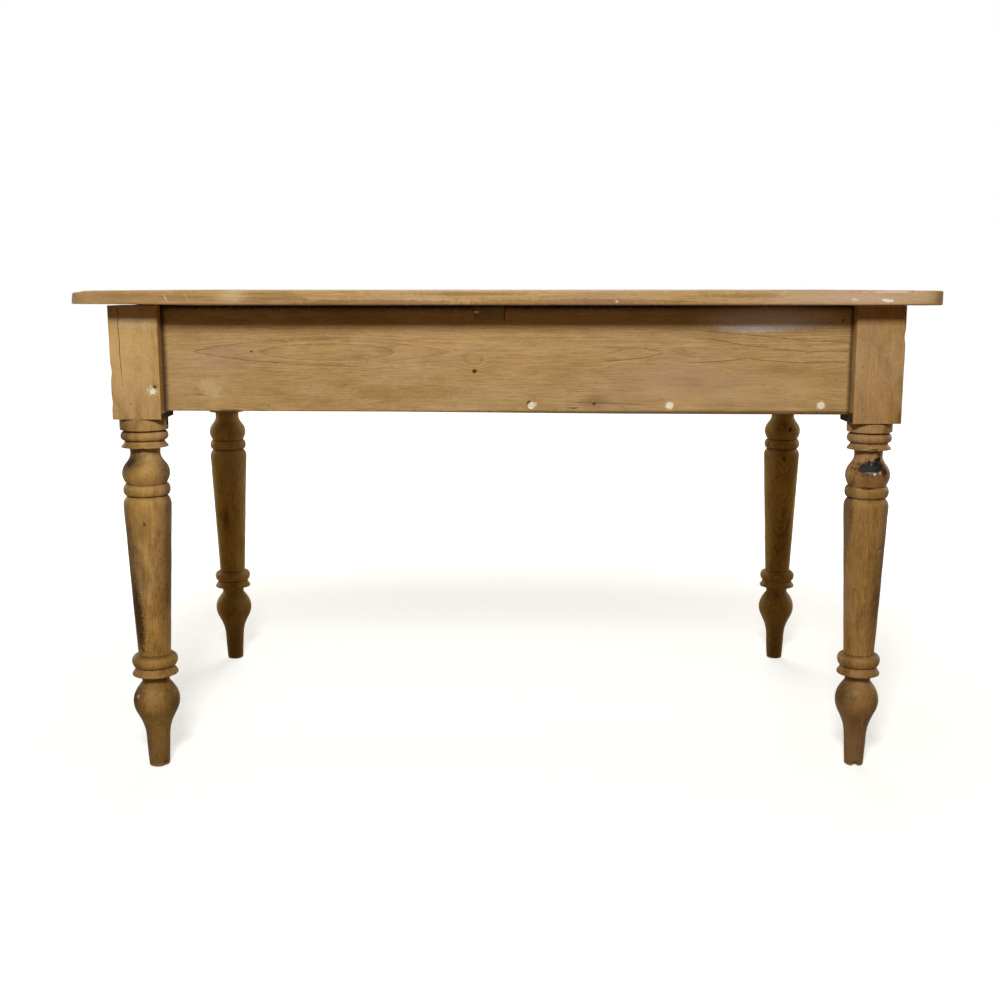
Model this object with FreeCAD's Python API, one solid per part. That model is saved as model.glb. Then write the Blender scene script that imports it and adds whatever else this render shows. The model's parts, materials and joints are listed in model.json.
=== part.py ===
import FreeCAD, Part
import math
import os

from FreeCAD import Vector

# Pine kitchen table: a board top on four rails that are tenoned into four turned legs.
# Millimetres. X runs along the table, Y from front to back, Z up from the floor under its middle.

# Top
TABLE_HEIGHT = 760.0
TOP_LENGTH = 1296.0
TOP_WIDTH = 772.0
TOP_THICKNESS = 22.0
TOP_CORNER_RADIUS = 34.0
TOP_EDGE_RADIUS = 3.0
END_OVERHANG = 46.0
SIDE_OVERHANG = 48.0
BOARD_WIDTH_SHARES = (0.19, 0.21, 0.2, 0.215, 0.185)
BOARD_GAP = 0.5
TONGUE_DEPTH = 8.0
TONGUE_THICKNESS = 7.0
TONGUE_CLEARANCE = 0.3

# Legs: the square block
LEG_SQUARE = 75.0
BLOCK_DROP = 11.0
BLOCK_EDGE_RADIUS = 1.5

# Legs: turned mouldings from the block down to the shaft
QUIRK_DEPTH = 4.5
COLLAR_DIAMETER = 73.0
COLLAR_HEIGHT = 18.5
COLLAR_CHAMFER = 2.0
UPPER_BEAD_DIAMETER = 71.5
UPPER_BEAD_HEIGHT = 15.0
FLARE_DIAMETER = 70.0
UPPER_FLARE_HEIGHT = 8.0
UPPER_LIP_HEIGHT = 2.5
FLARE_UNDERCUT = 2.0
UPPER_NECK_DIAMETER = 46.0
UPPER_NECK_HEIGHT = 7.0
VASE_DIAMETER = 72.0
VASE_SHOULDER_HEIGHT = 32.5
VASE_FOOT_DIAMETER = 62.0
VASE_FOOT_HEIGHT = 16.0
MIDDLE_BEAD_DIAMETER = 71.0
MIDDLE_BEAD_HEIGHT = 19.0
SHAFT_TOP_DIAMETER = 72.5
SHAFT_SHOULDER_HEIGHT = 14.0
SHAFT_FOOT_DIAMETER = 50.5

# Legs: turned mouldings from the shaft down to the floor
LOWER_BEAD_DIAMETER = 70.5
LOWER_BEAD_HEIGHT = 20.5
LOWER_FLARE_HEIGHT = 10.0
LOWER_LIP_HEIGHT = 3.0
LOWER_NECK_DIAMETER = 43.0
LOWER_NECK_HEIGHT = 9.5
BULB_DIAMETER = 72.0
BULB_SHOULDER_HEIGHT = 32.0
BULB_TAPER_HEIGHT = 70.0
ANKLE_DIAMETER = 36.5
ANKLE_HEIGHT = 40.0
FOOT_DIAMETER = 32.0
FOOT_CHAMFER = 1.5

# How far the two ends of an ogee hold their upright direction
VASE_HOLD_SHARES = (0.42, 0.5)
BULB_HOLD_SHARES = (0.33, 0.62)

# Rails and their haunched tenons
RAIL_HEIGHT = 164.0
RAIL_THICKNESS = 22.0
RAIL_SETBACK = 20.0
RAIL_EDGE_RADIUS = 2.0
TENON_THICKNESS = 10.0
TENON_LENGTH = 46.0
TENON_RISE = 14.0
HAUNCH_HEIGHT = 32.0
HAUNCH_LENGTH = 12.0
MITRE_GAP = 1.0
MORTISE_CLEARANCE = 0.2
MORTISE_END_GAP = 1.5

# Cross bearer under the boards, let into the top edges of the long rails
BEARER_WIDTH = 45.0
BEARER_DEPTH = 22.0
BEARER_CENTRE_SHARE = -0.053
BEARER_CLEARANCE = 0.3

# Glue blocks in the angle of the rails and the top
GLUE_BLOCK_LENGTH = 76.0
GLUE_BLOCK_LEG = 24.0
GLUE_BLOCK_BLUNT = 7.0
LONG_BLOCK_SHARES = (-0.58, 0.2, 0.58)
SHORT_BLOCK_SHARES = (0.0,)

# Slotted wood screws, through the bearer and through pockets in the rails
SCREW_HEAD_DIAMETER = 9.0
SCREW_HEAD_HEIGHT = 3.2
SCREW_RIM = 0.5
SCREW_SHANK_DIAMETER = 4.5
SCREW_TIP_HEIGHT = 6.0
SCREW_SLOT_WIDTH = 1.2
SCREW_SLOT_DEPTH = 1.4
SCREW_CLEARANCE = 0.15
SCREW_BITE = 14.0
BEARER_SCREW_SHARES = (-0.86, -0.44, 0.0, 0.44, 0.86)
POCKET_DIAMETER = 15.0
POCKET_SEAT_DEPTH = 28.0
POCKET_RUN = 80.0
POCKET_TILT_DEGREES = 15.0
LONG_POCKET_SHARES = (-0.78, -0.34, 0.4, 0.78)
SHORT_POCKET_SHARES = (-0.5, 0.5)

# Whittled peg through the tenon in the left front leg
PEG_HOLE_DIAMETER = 10.6
PEG_LENGTH = 52.0
PEG_INSET = 11.5
PEG_RISE = 35.0
PEG_SIDES = 7
PEG_TIP_SHARE = 0.75
PEG_CLEARANCE = 0.1

# Round plugs in the front rail
PLUG_DIAMETER = 12.0
PLUG_DEPTH = 12.0
PLUG_RISE = 11.5
PLUG_CLEARANCE = 0.1
PLUG_CHIP_DEPTH = 4.0
PLUG_PLACE_SHARES = (0.07, 0.474, 0.916)

# How far a cutting shape runs past the surface that it cuts
OVERRUN = 5.0

# Places that follow from the sizes above
UNDERSIDE = TABLE_HEIGHT - TOP_THICKNESS
FRAME_LENGTH = TOP_LENGTH - 2 * END_OVERHANG
FRAME_WIDTH = TOP_WIDTH - 2 * SIDE_OVERHANG
RAIL_BOTTOM = UNDERSIDE - RAIL_HEIGHT
BLOCK_BOTTOM = RAIL_BOTTOM - BLOCK_DROP
LONG_CLEAR = FRAME_LENGTH - 2 * LEG_SQUARE
SHORT_CLEAR = FRAME_WIDTH - 2 * LEG_SQUARE
RAIL_INSET = RAIL_SETBACK + RAIL_THICKNESS / 2
HALF_LEG = LEG_SQUARE / 2
BEARER_X = BEARER_CENTRE_SHARE * LONG_CLEAR / 2

ORIGIN = Vector(0, 0, 0)
UP = Vector(0, 0, 1)
ALONG = Vector(1, 0, 0)
BACKWARD = Vector(0, 1, 0)


def turned(shape, degrees, place=ORIGIN):
    """A copy turned about the upright axis and then moved to its place."""
    return shape.rotated(ORIGIN, UP, degrees).translated(place)


def prism(points, run):
    """A solid with a straight-sided outline, run along a vector."""
    return Part.Face(Part.makePolygon(points + points[:1])).extrude(run)


def revolved(edges):
    """A solid turned about the Z axis from the edges of a closed half outline."""
    return Part.Face(Part.Wire(edges)).revolve(ORIGIN, UP, 360)


def line(start, end):
    return Part.LineSegment(start, end).toShape()


class Turning:
    """The half outline of a turned leg, drawn downwards from the square block as a turner cuts it."""

    def __init__(self, diameter, height):
        self.point = Vector(diameter / 2, 0, height)
        self.edges = [line(Vector(0, 0, height), self.point)]

    def below(self, diameter, drop):
        return Vector(diameter / 2, 0, self.point.z - drop)

    def add(self, curve, end):
        self.edges.append(curve.toShape())
        self.point = end

    def straight(self, diameter, drop):
        end = self.below(diameter, drop)
        self.add(Part.LineSegment(self.point, end), end)

    def bead(self, widest, diameter, drop):
        """A round moulding, widest at half its height, that ends at a diameter."""
        end = self.below(diameter, drop)
        self.add(Part.Arc(self.point, self.below(widest, drop / 2), end), end)

    def swell(self, diameter, drop):
        """An arc that widens to a diameter and is upright there."""
        end = self.below(diameter, drop)
        self.add(Part.Arc(self.point, halfway_round(end, self.point), end), end)

    def tuck(self, diameter, drop):
        """An arc that is upright where it starts and narrows to a diameter."""
        end = self.below(diameter, drop)
        self.add(Part.Arc(self.point, halfway_round(self.point, end), end), end)

    def ogee(self, diameter, drop, hold_shares):
        """An S curve that is upright at both ends."""
        end = self.below(diameter, drop)
        first = self.point - UP * drop * hold_shares[0]
        second = end + UP * drop * hold_shares[1]
        curve = Part.BezierCurve()
        curve.setPoles([self.point, first, second, end])
        self.add(curve, end)

    def solid(self):
        foot = Vector(0, 0, self.point.z)
        top = self.edges[0].Vertexes[0].Point
        return revolved(self.edges + [line(self.point, foot), line(foot, top)])


def halfway_round(upright, other):
    """The middle of the arc that is upright at one point and passes through the other."""
    step = upright.x - other.x
    rise = other.z - upright.z
    radius = (step ** 2 + rise ** 2) / (2 * step)
    angle = math.atan2(rise, radius - step) / 2
    return upright + Vector(radius * (math.cos(angle) - 1), 0, radius * math.sin(angle))


def turned_leg():
    """The round part of a leg, from the block to the floor."""
    upper_quirk = UPPER_BEAD_DIAMETER - 2 * QUIRK_DEPTH
    middle_quirk = MIDDLE_BEAD_DIAMETER - 2 * QUIRK_DEPTH
    lower_quirk = LOWER_BEAD_DIAMETER - 2 * QUIRK_DEPTH
    below_shaft = (LOWER_BEAD_HEIGHT + LOWER_FLARE_HEIGHT + LOWER_LIP_HEIGHT + FLARE_UNDERCUT
                   + LOWER_NECK_HEIGHT + BULB_SHOULDER_HEIGHT + BULB_TAPER_HEIGHT + ANKLE_HEIGHT)
    outline = Turning(COLLAR_DIAMETER, BLOCK_BOTTOM)
    outline.straight(COLLAR_DIAMETER, COLLAR_HEIGHT)
    outline.straight(upper_quirk, COLLAR_CHAMFER)
    outline.bead(UPPER_BEAD_DIAMETER, upper_quirk, UPPER_BEAD_HEIGHT)
    outline.straight(FLARE_DIAMETER, UPPER_FLARE_HEIGHT)
    outline.straight(FLARE_DIAMETER, UPPER_LIP_HEIGHT)
    outline.straight(UPPER_NECK_DIAMETER, FLARE_UNDERCUT)
    outline.straight(UPPER_NECK_DIAMETER, UPPER_NECK_HEIGHT)
    outline.ogee(VASE_DIAMETER, VASE_SHOULDER_HEIGHT, VASE_HOLD_SHARES)
    outline.tuck(VASE_FOOT_DIAMETER, VASE_FOOT_HEIGHT)
    outline.bead(MIDDLE_BEAD_DIAMETER, middle_quirk, MIDDLE_BEAD_HEIGHT)
    outline.swell(SHAFT_TOP_DIAMETER, SHAFT_SHOULDER_HEIGHT)
    outline.straight(SHAFT_FOOT_DIAMETER, outline.point.z - below_shaft)
    outline.bead(LOWER_BEAD_DIAMETER, lower_quirk, LOWER_BEAD_HEIGHT)
    outline.straight(FLARE_DIAMETER, LOWER_FLARE_HEIGHT)
    outline.straight(FLARE_DIAMETER, LOWER_LIP_HEIGHT)
    outline.straight(LOWER_NECK_DIAMETER, FLARE_UNDERCUT)
    outline.straight(LOWER_NECK_DIAMETER, LOWER_NECK_HEIGHT)
    outline.swell(BULB_DIAMETER, BULB_SHOULDER_HEIGHT)
    outline.ogee(ANKLE_DIAMETER, BULB_TAPER_HEIGHT, BULB_HOLD_SHARES)
    outline.straight(FOOT_DIAMETER, ANKLE_HEIGHT - FOOT_CHAMFER)
    outline.straight(FOOT_DIAMETER - 2 * FOOT_CHAMFER, FOOT_CHAMFER)
    return outline.solid()


def rounded_edges(solid, radius, chosen):
    """The solid with the edges that a test chooses rounded off."""
    return solid.makeFillet(radius, [edge for edge in solid.Edges if chosen(edge)])


def is_upright(edge):
    first, last = edge.Vertexes
    return first.Z != last.Z


def is_level(edge):
    return not is_upright(edge)


def is_lower_arris(edge):
    """Whether an edge runs along X at the lowest level of a rail."""
    first, last = edge.Vertexes
    return first.Z == 0 and last.Z == 0 and first.Y == last.Y


def haunched_tenon(gap=0, end_gap=0, overrun=0):
    """A tenon that points along X from its shoulder, with the rail's lower edge at Z = 0.

    With the gaps and the overrun it is the hollow of the mortise."""
    bottom = TENON_RISE - gap
    haunch_bottom = RAIL_HEIGHT - HAUNCH_HEIGHT + gap
    top = RAIL_HEIGHT + overrun
    side = TENON_THICKNESS / 2 + gap
    outline = [
        Vector(-overrun, -side, bottom),
        Vector(TENON_LENGTH + end_gap, -side, bottom),
        Vector(TENON_LENGTH + end_gap, -side, haunch_bottom),
        Vector(HAUNCH_LENGTH + end_gap, -side, haunch_bottom),
        Vector(HAUNCH_LENGTH + end_gap, -side, top),
        Vector(-overrun, -side, top),
    ]
    return prism(outline, BACKWARD * 2 * side)


def mitred_tenon():
    """A tenon whose tip is cut back to the leg's diagonal, where the two rails' tenons meet."""
    meeting = LEG_SQUARE - RAIL_INSET - MITRE_GAP
    side = TENON_THICKNESS / 2 + OVERRUN
    far = LEG_SQUARE + side
    waste = prism([
        Vector(meeting + side, -side, 0),
        Vector(far, -side, 0),
        Vector(far, side, 0),
        Vector(meeting - side, side, 0),
    ], UP * RAIL_HEIGHT)
    return haunched_tenon().cut(waste)


def leg():
    """A leg about its own axis, with outer faces towards -X and -Y and mortises in the other two."""
    corner = Vector(-HALF_LEG, -HALF_LEG, BLOCK_BOTTOM)
    block = Part.makeBox(LEG_SQUARE, LEG_SQUARE, UNDERSIDE - BLOCK_BOTTOM, corner)
    block = rounded_edges(block, BLOCK_EDGE_RADIUS, is_upright)
    mortise = haunched_tenon(MORTISE_CLEARANCE, MORTISE_END_GAP, OVERRUN)
    rail_plane = RAIL_INSET - HALF_LEG
    hollows = [
        turned(mortise, 180, Vector(HALF_LEG, rail_plane, RAIL_BOTTOM)),
        turned(mortise, -90, Vector(rail_plane, HALF_LEG, RAIL_BOTTOM)),
    ]
    return block.fuse(turned_leg()).cut(hollows)


def pocket_axis(shape, x):
    """A shape made along Z from a screw's seat, leant into its pocket at a place along a rail."""
    seated = shape.translated(-UP * POCKET_SEAT_DEPTH)
    return seated.rotated(ORIGIN, ALONG, POCKET_TILT_DEGREES).translated(Vector(x, 0, RAIL_HEIGHT))


def rail(clear, pocket_places):
    """A rail along X with its outer face towards -Y and its lower edge at Z = 0."""
    corner = Vector(-clear / 2, -RAIL_THICKNESS / 2, 0)
    body = Part.makeBox(clear, RAIL_THICKNESS, RAIL_HEIGHT, corner)
    body = rounded_edges(body, RAIL_EDGE_RADIUS, is_lower_arris)
    tenon = mitred_tenon().translated(ALONG * clear / 2)
    body = body.fuse([tenon, tenon.mirror(ORIGIN, ALONG)])
    pocket = Part.makeCylinder(POCKET_DIAMETER / 2, POCKET_RUN, ORIGIN, -UP)
    tools = [pocket_axis(tool, x) for x in pocket_places for tool in (pocket, pocket_screw_hole())]
    return body.cut(tools)


def wood_screw(length, gap=0, overrun=0):
    """A screw that points up from the seat of its head at Z = 0.

    With the gap and the overrun it is the hole for the screw."""
    head = SCREW_HEAD_DIAMETER / 2 + gap
    shank = SCREW_SHANK_DIAMETER / 2 + gap
    points = [
        Vector(0, 0, -SCREW_RIM - overrun),
        Vector(head, 0, -SCREW_RIM - overrun),
        Vector(head, 0, 0),
        Vector(shank, 0, SCREW_HEAD_HEIGHT),
        Vector(shank, 0, length - SCREW_TIP_HEIGHT),
        Vector(0, 0, length + gap),
    ]
    return revolved(Part.makePolygon(points + points[:1]).Edges)


def slotted(screw):
    slot = Part.makeBox(
        2 * SCREW_HEAD_DIAMETER, SCREW_SLOT_WIDTH, SCREW_SLOT_DEPTH + OVERRUN,
        Vector(-SCREW_HEAD_DIAMETER, -SCREW_SLOT_WIDTH / 2, -SCREW_RIM - OVERRUN))
    return screw.cut(slot)


def pocket_screw_hole():
    return wood_screw(POCKET_SEAT_DEPTH + SCREW_BITE, SCREW_CLEARANCE, OVERRUN)


def glue_block():
    """A blunted triangular block along X, with its square corner at the rail's inner face and top edge."""
    half = GLUE_BLOCK_LENGTH / 2
    outline = [
        Vector(-half, 0, 0),
        Vector(-half, GLUE_BLOCK_LEG, 0),
        Vector(-half, GLUE_BLOCK_LEG, -GLUE_BLOCK_BLUNT),
        Vector(-half, GLUE_BLOCK_BLUNT, -GLUE_BLOCK_LEG),
        Vector(-half, 0, -GLUE_BLOCK_LEG),
    ]
    return prism(outline, ALONG * GLUE_BLOCK_LENGTH)


def top_slab():
    """The whole top before it is divided into boards."""
    corner = Vector(-TOP_LENGTH / 2, -TOP_WIDTH / 2, UNDERSIDE)
    slab = Part.makeBox(TOP_LENGTH, TOP_WIDTH, TOP_THICKNESS, corner)
    slab = rounded_edges(slab, TOP_CORNER_RADIUS, is_upright)
    edge_radius = min(TOP_EDGE_RADIUS, TOP_THICKNESS / 3)
    return rounded_edges(slab, edge_radius, is_level)


def board_space(front, back, has_groove, has_tongue):
    """The room that one board of the top takes up, with its groove in front and its tongue behind."""
    start = -TOP_LENGTH / 2 - OVERRUN
    low = UNDERSIDE - OVERRUN
    high = TABLE_HEIGHT + OVERRUN
    middle = UNDERSIDE + TOP_THICKNESS / 2
    groove_end = front + TONGUE_DEPTH - BOARD_GAP + TONGUE_CLEARANCE
    groove_half = TONGUE_THICKNESS / 2 + TONGUE_CLEARANCE
    tongue_end = back + TONGUE_DEPTH
    tongue_half = TONGUE_THICKNESS / 2
    points = [Vector(start, front, low)]
    if has_groove:
        points += [
            Vector(start, front, middle - groove_half),
            Vector(start, groove_end, middle - groove_half),
            Vector(start, groove_end, middle + groove_half),
            Vector(start, front, middle + groove_half),
        ]
    points += [Vector(start, front, high), Vector(start, back, high)]
    if has_tongue:
        points += [
            Vector(start, back, middle + tongue_half),
            Vector(start, tongue_end, middle + tongue_half),
            Vector(start, tongue_end, middle - tongue_half),
            Vector(start, back, middle - tongue_half),
        ]
    points += [Vector(start, back, low)]
    return prism(points, ALONG * (TOP_LENGTH + 2 * OVERRUN))


def top_boards(screw_holes):
    """The boards from front to back, with holes where the screws bite into them."""
    slab = top_slab().cut(screw_holes)
    boards = []
    edge = -TOP_WIDTH / 2
    for share in BOARD_WIDTH_SHARES:
        first = not boards
        last = len(boards) == len(BOARD_WIDTH_SHARES) - 1
        front = edge - OVERRUN if first else edge + BOARD_GAP / 2
        edge += share * TOP_WIDTH
        back = edge + OVERRUN if last else edge - BOARD_GAP / 2
        boards.append(slab.common(board_space(front, back, not first, not last)))
    return boards


def whittled_peg():
    """A tapering many-sided peg along +Y, with its thick end at Y = 0."""
    thick = PEG_HOLE_DIAMETER / 2 - PEG_CLEARANCE
    rings = []
    for radius, y in ((thick, 0), (thick * PEG_TIP_SHARE, PEG_LENGTH)):
        corners = []
        for side in range(PEG_SIDES):
            angle = math.tau * side / PEG_SIDES
            corners.append(Vector(radius * math.sin(angle), y, radius * math.cos(angle)))
        rings.append(Part.makePolygon(corners + corners[:1]))
    return Part.makeLoft(rings, True, True)


def rail_plug(place, chipped):
    """A round plug let into the front rail from its outer face."""
    plug = Part.makeCylinder(PLUG_DIAMETER / 2 - PLUG_CLEARANCE, PLUG_DEPTH, place, BACKWARD)
    if not chipped:
        return plug
    reach = PLUG_DIAMETER / 2
    chip = prism([
        place + Vector(-reach, 0, 0),
        place + Vector(0, 0, reach),
        place + Vector(-reach, 0, reach),
    ], BACKWARD * PLUG_CHIP_DEPTH)
    return plug.cut(chip)


def long_rail_places(shares):
    return [share * LONG_CLEAR / 2 for share in shares]


def short_rail_places(shares):
    return [share * SHORT_CLEAR / 2 for share in shares]


def save(name, shapes):
    """Write one node: a single solid, or a group of separate ones."""
    shape = shapes[0] if len(shapes) == 1 else Part.makeCompound(shapes)
    shape.exportStep("parts/" + name + ".step")
    print(name, len(shape.Solids), "solids", round(shape.Volume), "mm3", shape.isValid())


def build():
    """Make every piece at its place and write it out."""
    os.makedirs("parts", exist_ok=True)
    rail_y = FRAME_WIDTH / 2 - RAIL_INSET
    rail_x = FRAME_LENGTH / 2 - RAIL_INSET
    leg_x = FRAME_LENGTH / 2 - HALF_LEG
    leg_y = FRAME_WIDTH / 2 - HALF_LEG

    # Each side of the frame: its turn, the middle of its rail, and the places along the rail
    sides = {
        "front": (0, Vector(0, -rail_y, RAIL_BOTTOM)),
        "right": (90, Vector(rail_x, 0, RAIL_BOTTOM)),
        "back": (180, Vector(0, rail_y, RAIL_BOTTOM)),
        "left": (270, Vector(-rail_x, 0, RAIL_BOTTOM)),
    }
    rails = {}
    pocket_screws = []
    screw_holes = []
    screw = slotted(wood_screw(POCKET_SEAT_DEPTH + SCREW_BITE))
    inner_corner = Vector(0, RAIL_THICKNESS / 2, RAIL_HEIGHT)
    for name, (turn, place) in sides.items():
        is_long = name in ("front", "back")
        places = long_rail_places if is_long else short_rail_places
        clear = LONG_CLEAR if is_long else SHORT_CLEAR
        pockets = places(LONG_POCKET_SHARES if is_long else SHORT_POCKET_SHARES)
        rails[name] = turned(rail(clear, pockets), turn, place)
        for x in pockets:
            pocket_screws.append(turned(pocket_axis(screw, x), turn, place))
            screw_holes.append(turned(pocket_axis(pocket_screw_hole(), x), turn, place))
        blocks = places(LONG_BLOCK_SHARES if is_long else SHORT_BLOCK_SHARES)
        for number, x in enumerate(blocks, start=1):
            block = turned(glue_block().translated(inner_corner + ALONG * x), turn, place)
            save("glue_block_%s_%d" % (name, number), [block])

    # The bearer fills its notches from the outer face of one long rail to that of the other
    bearer_length = FRAME_WIDTH - 2 * RAIL_SETBACK
    bearer_bottom = UNDERSIDE - BEARER_DEPTH
    corner = Vector(BEARER_X - BEARER_WIDTH / 2, -bearer_length / 2, bearer_bottom)
    bearer = Part.makeBox(BEARER_WIDTH, bearer_length, BEARER_DEPTH, corner)
    notch = Part.makeBox(
        BEARER_WIDTH + 2 * BEARER_CLEARANCE, bearer_length + 2 * OVERRUN, BEARER_DEPTH + OVERRUN,
        corner - Vector(BEARER_CLEARANCE, OVERRUN, 0))
    for name in ("front", "back"):
        rails[name] = rails[name].cut(notch)

    # One screw through the bearer into each board
    bearer_reach = bearer_length / 2 - RAIL_THICKNESS
    screw_length = BEARER_DEPTH - SCREW_RIM + SCREW_BITE
    bearer_screws = []
    for share in BEARER_SCREW_SHARES:
        seat = Vector(BEARER_X, share * bearer_reach, bearer_bottom + SCREW_RIM)
        hole = wood_screw(screw_length, SCREW_CLEARANCE, OVERRUN).translated(seat)
        bearer = bearer.cut(hole)
        screw_holes.append(hole)
        bearer_screws.append(slotted(wood_screw(screw_length)).translated(seat))

    # The legs turn in quarters, so that their mortises always face the rails
    legs = {
        "front_left": turned(leg(), 0, Vector(-leg_x, -leg_y, 0)),
        "front_right": turned(leg(), 90, Vector(leg_x, -leg_y, 0)),
        "back_right": turned(leg(), 180, Vector(leg_x, leg_y, 0)),
        "back_left": turned(leg(), 270, Vector(-leg_x, leg_y, 0)),
    }

    # The peg goes in from the face of the left front leg, through the front rail's tenon
    peg_place = Vector(-LONG_CLEAR / 2 - PEG_INSET, -FRAME_WIDTH / 2, RAIL_BOTTOM + PEG_RISE)
    peg_run = PEG_LENGTH + PEG_CLEARANCE + OVERRUN
    peg_hole = Part.makeCylinder(PEG_HOLE_DIAMETER / 2, peg_run, peg_place - BACKWARD * OVERRUN, BACKWARD)
    legs["front_left"] = legs["front_left"].cut(peg_hole)
    rails["front"] = rails["front"].cut(peg_hole)
    peg = whittled_peg().translated(peg_place)

    # The plugs lie flush in the front rail; the first has lost a chip
    plugs = []
    for x in long_rail_places(PLUG_PLACE_SHARES):
        place = Vector(x, -rail_y - RAIL_THICKNESS / 2, RAIL_BOTTOM + PLUG_RISE)
        mouth = place - BACKWARD * OVERRUN
        hole = Part.makeCylinder(PLUG_DIAMETER / 2, PLUG_DEPTH + OVERRUN, mouth, BACKWARD)
        rails["front"] = rails["front"].cut(hole)
        plugs.append(rail_plug(place, chipped=not plugs))

    for number, board in enumerate(top_boards(screw_holes), start=1):
        save("top_board_%d" % number, [board])
    for name, shape in legs.items():
        save("leg_" + name, [shape])
    for name, shape in rails.items():
        save("rail_" + name, [shape])
    save("cross_bearer", [bearer])
    save("bearer_screws", bearer_screws)
    save("pocket_screws", pocket_screws)
    save("tenon_peg", [peg])
    save("rail_plugs", plugs)


build()
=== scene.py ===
# %% [markdown]
# # An old pine kitchen table
#
# The construction comes from the imported frame: boards, legs, rails and screws, each at its real size and place.
# This lesson gives it the look of a table that has been waxed, knocked and mended for a century. We load the frame
# first. Nothing that we add may reach outside it.

# %% Load the frame
import json
import math

import bpy
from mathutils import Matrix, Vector

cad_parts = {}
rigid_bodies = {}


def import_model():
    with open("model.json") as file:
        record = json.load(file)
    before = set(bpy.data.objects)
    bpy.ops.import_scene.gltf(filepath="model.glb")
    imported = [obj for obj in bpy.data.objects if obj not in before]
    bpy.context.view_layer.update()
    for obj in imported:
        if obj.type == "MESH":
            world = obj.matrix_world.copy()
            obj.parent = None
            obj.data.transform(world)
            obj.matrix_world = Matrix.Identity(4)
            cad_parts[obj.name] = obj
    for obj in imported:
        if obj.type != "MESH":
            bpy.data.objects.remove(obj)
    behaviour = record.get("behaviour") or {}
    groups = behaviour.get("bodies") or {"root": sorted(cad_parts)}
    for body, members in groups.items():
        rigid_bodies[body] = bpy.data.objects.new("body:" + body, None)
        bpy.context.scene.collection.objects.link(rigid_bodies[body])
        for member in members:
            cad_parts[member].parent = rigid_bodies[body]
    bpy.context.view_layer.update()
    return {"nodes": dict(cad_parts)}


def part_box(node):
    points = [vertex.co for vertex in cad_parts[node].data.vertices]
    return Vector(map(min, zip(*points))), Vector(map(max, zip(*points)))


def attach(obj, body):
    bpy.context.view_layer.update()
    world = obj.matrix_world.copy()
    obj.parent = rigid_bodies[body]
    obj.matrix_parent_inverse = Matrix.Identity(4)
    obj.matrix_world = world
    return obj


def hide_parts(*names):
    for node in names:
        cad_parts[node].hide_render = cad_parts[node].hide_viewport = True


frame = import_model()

MM = 0.001
NODES = frame["nodes"]
scene = bpy.context.scene

# %% [markdown]
# ## The camera
#
# The table was photographed square on, from its own height and tilted down by less than ten degrees. A camera's lens
# is given in millimetres on a 36 mm sensor. We give the place and tilt and leave the depth of field off.

# %% Camera
CAMERA_PLACE = Vector((-13.1, -2255.1, 765.1)) * MM
CAMERA_DOWN = math.radians(9.585)
CAMERA_YAW = math.radians(0.063)
CAMERA_LENS_MM = 45.416
SENSOR_MM = 36

bpy.ops.object.camera_add(
    location=CAMERA_PLACE, rotation=(math.radians(90) - CAMERA_DOWN, 0, -CAMERA_YAW))
camera = bpy.context.object
camera.data.sensor_width = SENSOR_MM
camera.data.lens = CAMERA_LENS_MM
scene.camera = camera
scene.view_settings.view_transform = "Standard"
print("camera at", [round(v, 3) for v in camera.location])

# %% [markdown]
# ## Colours and nodes
#
# Colours are written as sRGB hex codes, as a paint chart gives them, but Blender computes in linear light, so one
# function turns the first into the second. Materials are built from nodes. Adding a node, setting it and linking it
# is always the same work, so one function does that as well.

# %% Helpers for colours and nodes


def linear(hex_code, alpha=1.0):
    """An sRGB hex colour as the linear colour that Blender works in."""
    channels = [int(hex_code[i:i + 2], 16) / 255 for i in (1, 3, 5)]
    return [c / 12.92 if c <= 0.04045 else ((c + 0.055) / 1.055) ** 2.4 for c in channels] + [alpha]


MATH, VECTOR = "ShaderNodeMath", "ShaderNodeVectorMath"
MIX, RANGE, NOISE = "ShaderNodeMix", "ShaderNodeMapRange", "ShaderNodeTexNoise"


def add(tree, kind, inputs=None, take=None, **settings):
    """Add a node and hand on its first output in use, or the one named. Sockets among the inputs are linked."""
    made = tree.nodes.new(kind)
    for key, value in settings.items():
        setattr(made, key, value)
    for key, value in (inputs or {}).items():
        if isinstance(value, bpy.types.NodeSocket):
            tree.links.new(value, made.inputs[key])
        else:
            made.inputs[key].default_value = value
    return made.outputs[take] if take else next((output for output in made.outputs if output.enabled), None)


print("mid grey is", round(linear("#808080")[0], 3), "in linear light")

# %% [markdown]
# ## Light
#
# The shadow of the top's edge falls as far down the rail and the legs as a lamp in front, close to thirty degrees up
# and nearly above the camera, would throw it, and the shadow's soft rim tells the lamp's size. The key lamp stands
# there. A large weak lamp behind the table and two beside it are there for the other views. A lamp's power is
# worked out from the level wanted on a white card that faces it: at a level of one, a colour renders as it is
# written.

# %% Lamps
AIM = Vector((0, 0, 0.55))
LAMPS = {  # turn from the front and height in degrees, distance and size in metres, level
    "key_lamp": (-4, 28.5, 2.9, 0.45, 0.68),
    "back_lamp": (180, 38, 4.2, 2.4, 0.32),
    "side_lamp_left": (-122, 12, 3.4, 1.8, 0.26),
    "side_lamp_right": (122, 12, 3.4, 1.8, 0.26),
}


def lamp(name, turn, up, distance, size, level):
    """A square lamp that faces the table and lights a white card there to the given level."""
    turn, up = math.radians(turn), math.radians(up)
    toward = Vector((math.sin(turn) * math.cos(up), -math.cos(turn) * math.cos(up), math.sin(up)))
    bpy.ops.object.light_add(type="AREA", location=AIM + toward * distance)
    made = bpy.context.object
    made.name = name
    made.rotation_euler = toward.to_track_quat("Z", "Y").to_euler()
    made.data.size = size
    made.data.energy = level * math.pi ** 2 * distance ** 2
    print(name, round(made.data.energy), "W")
    return made


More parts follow.
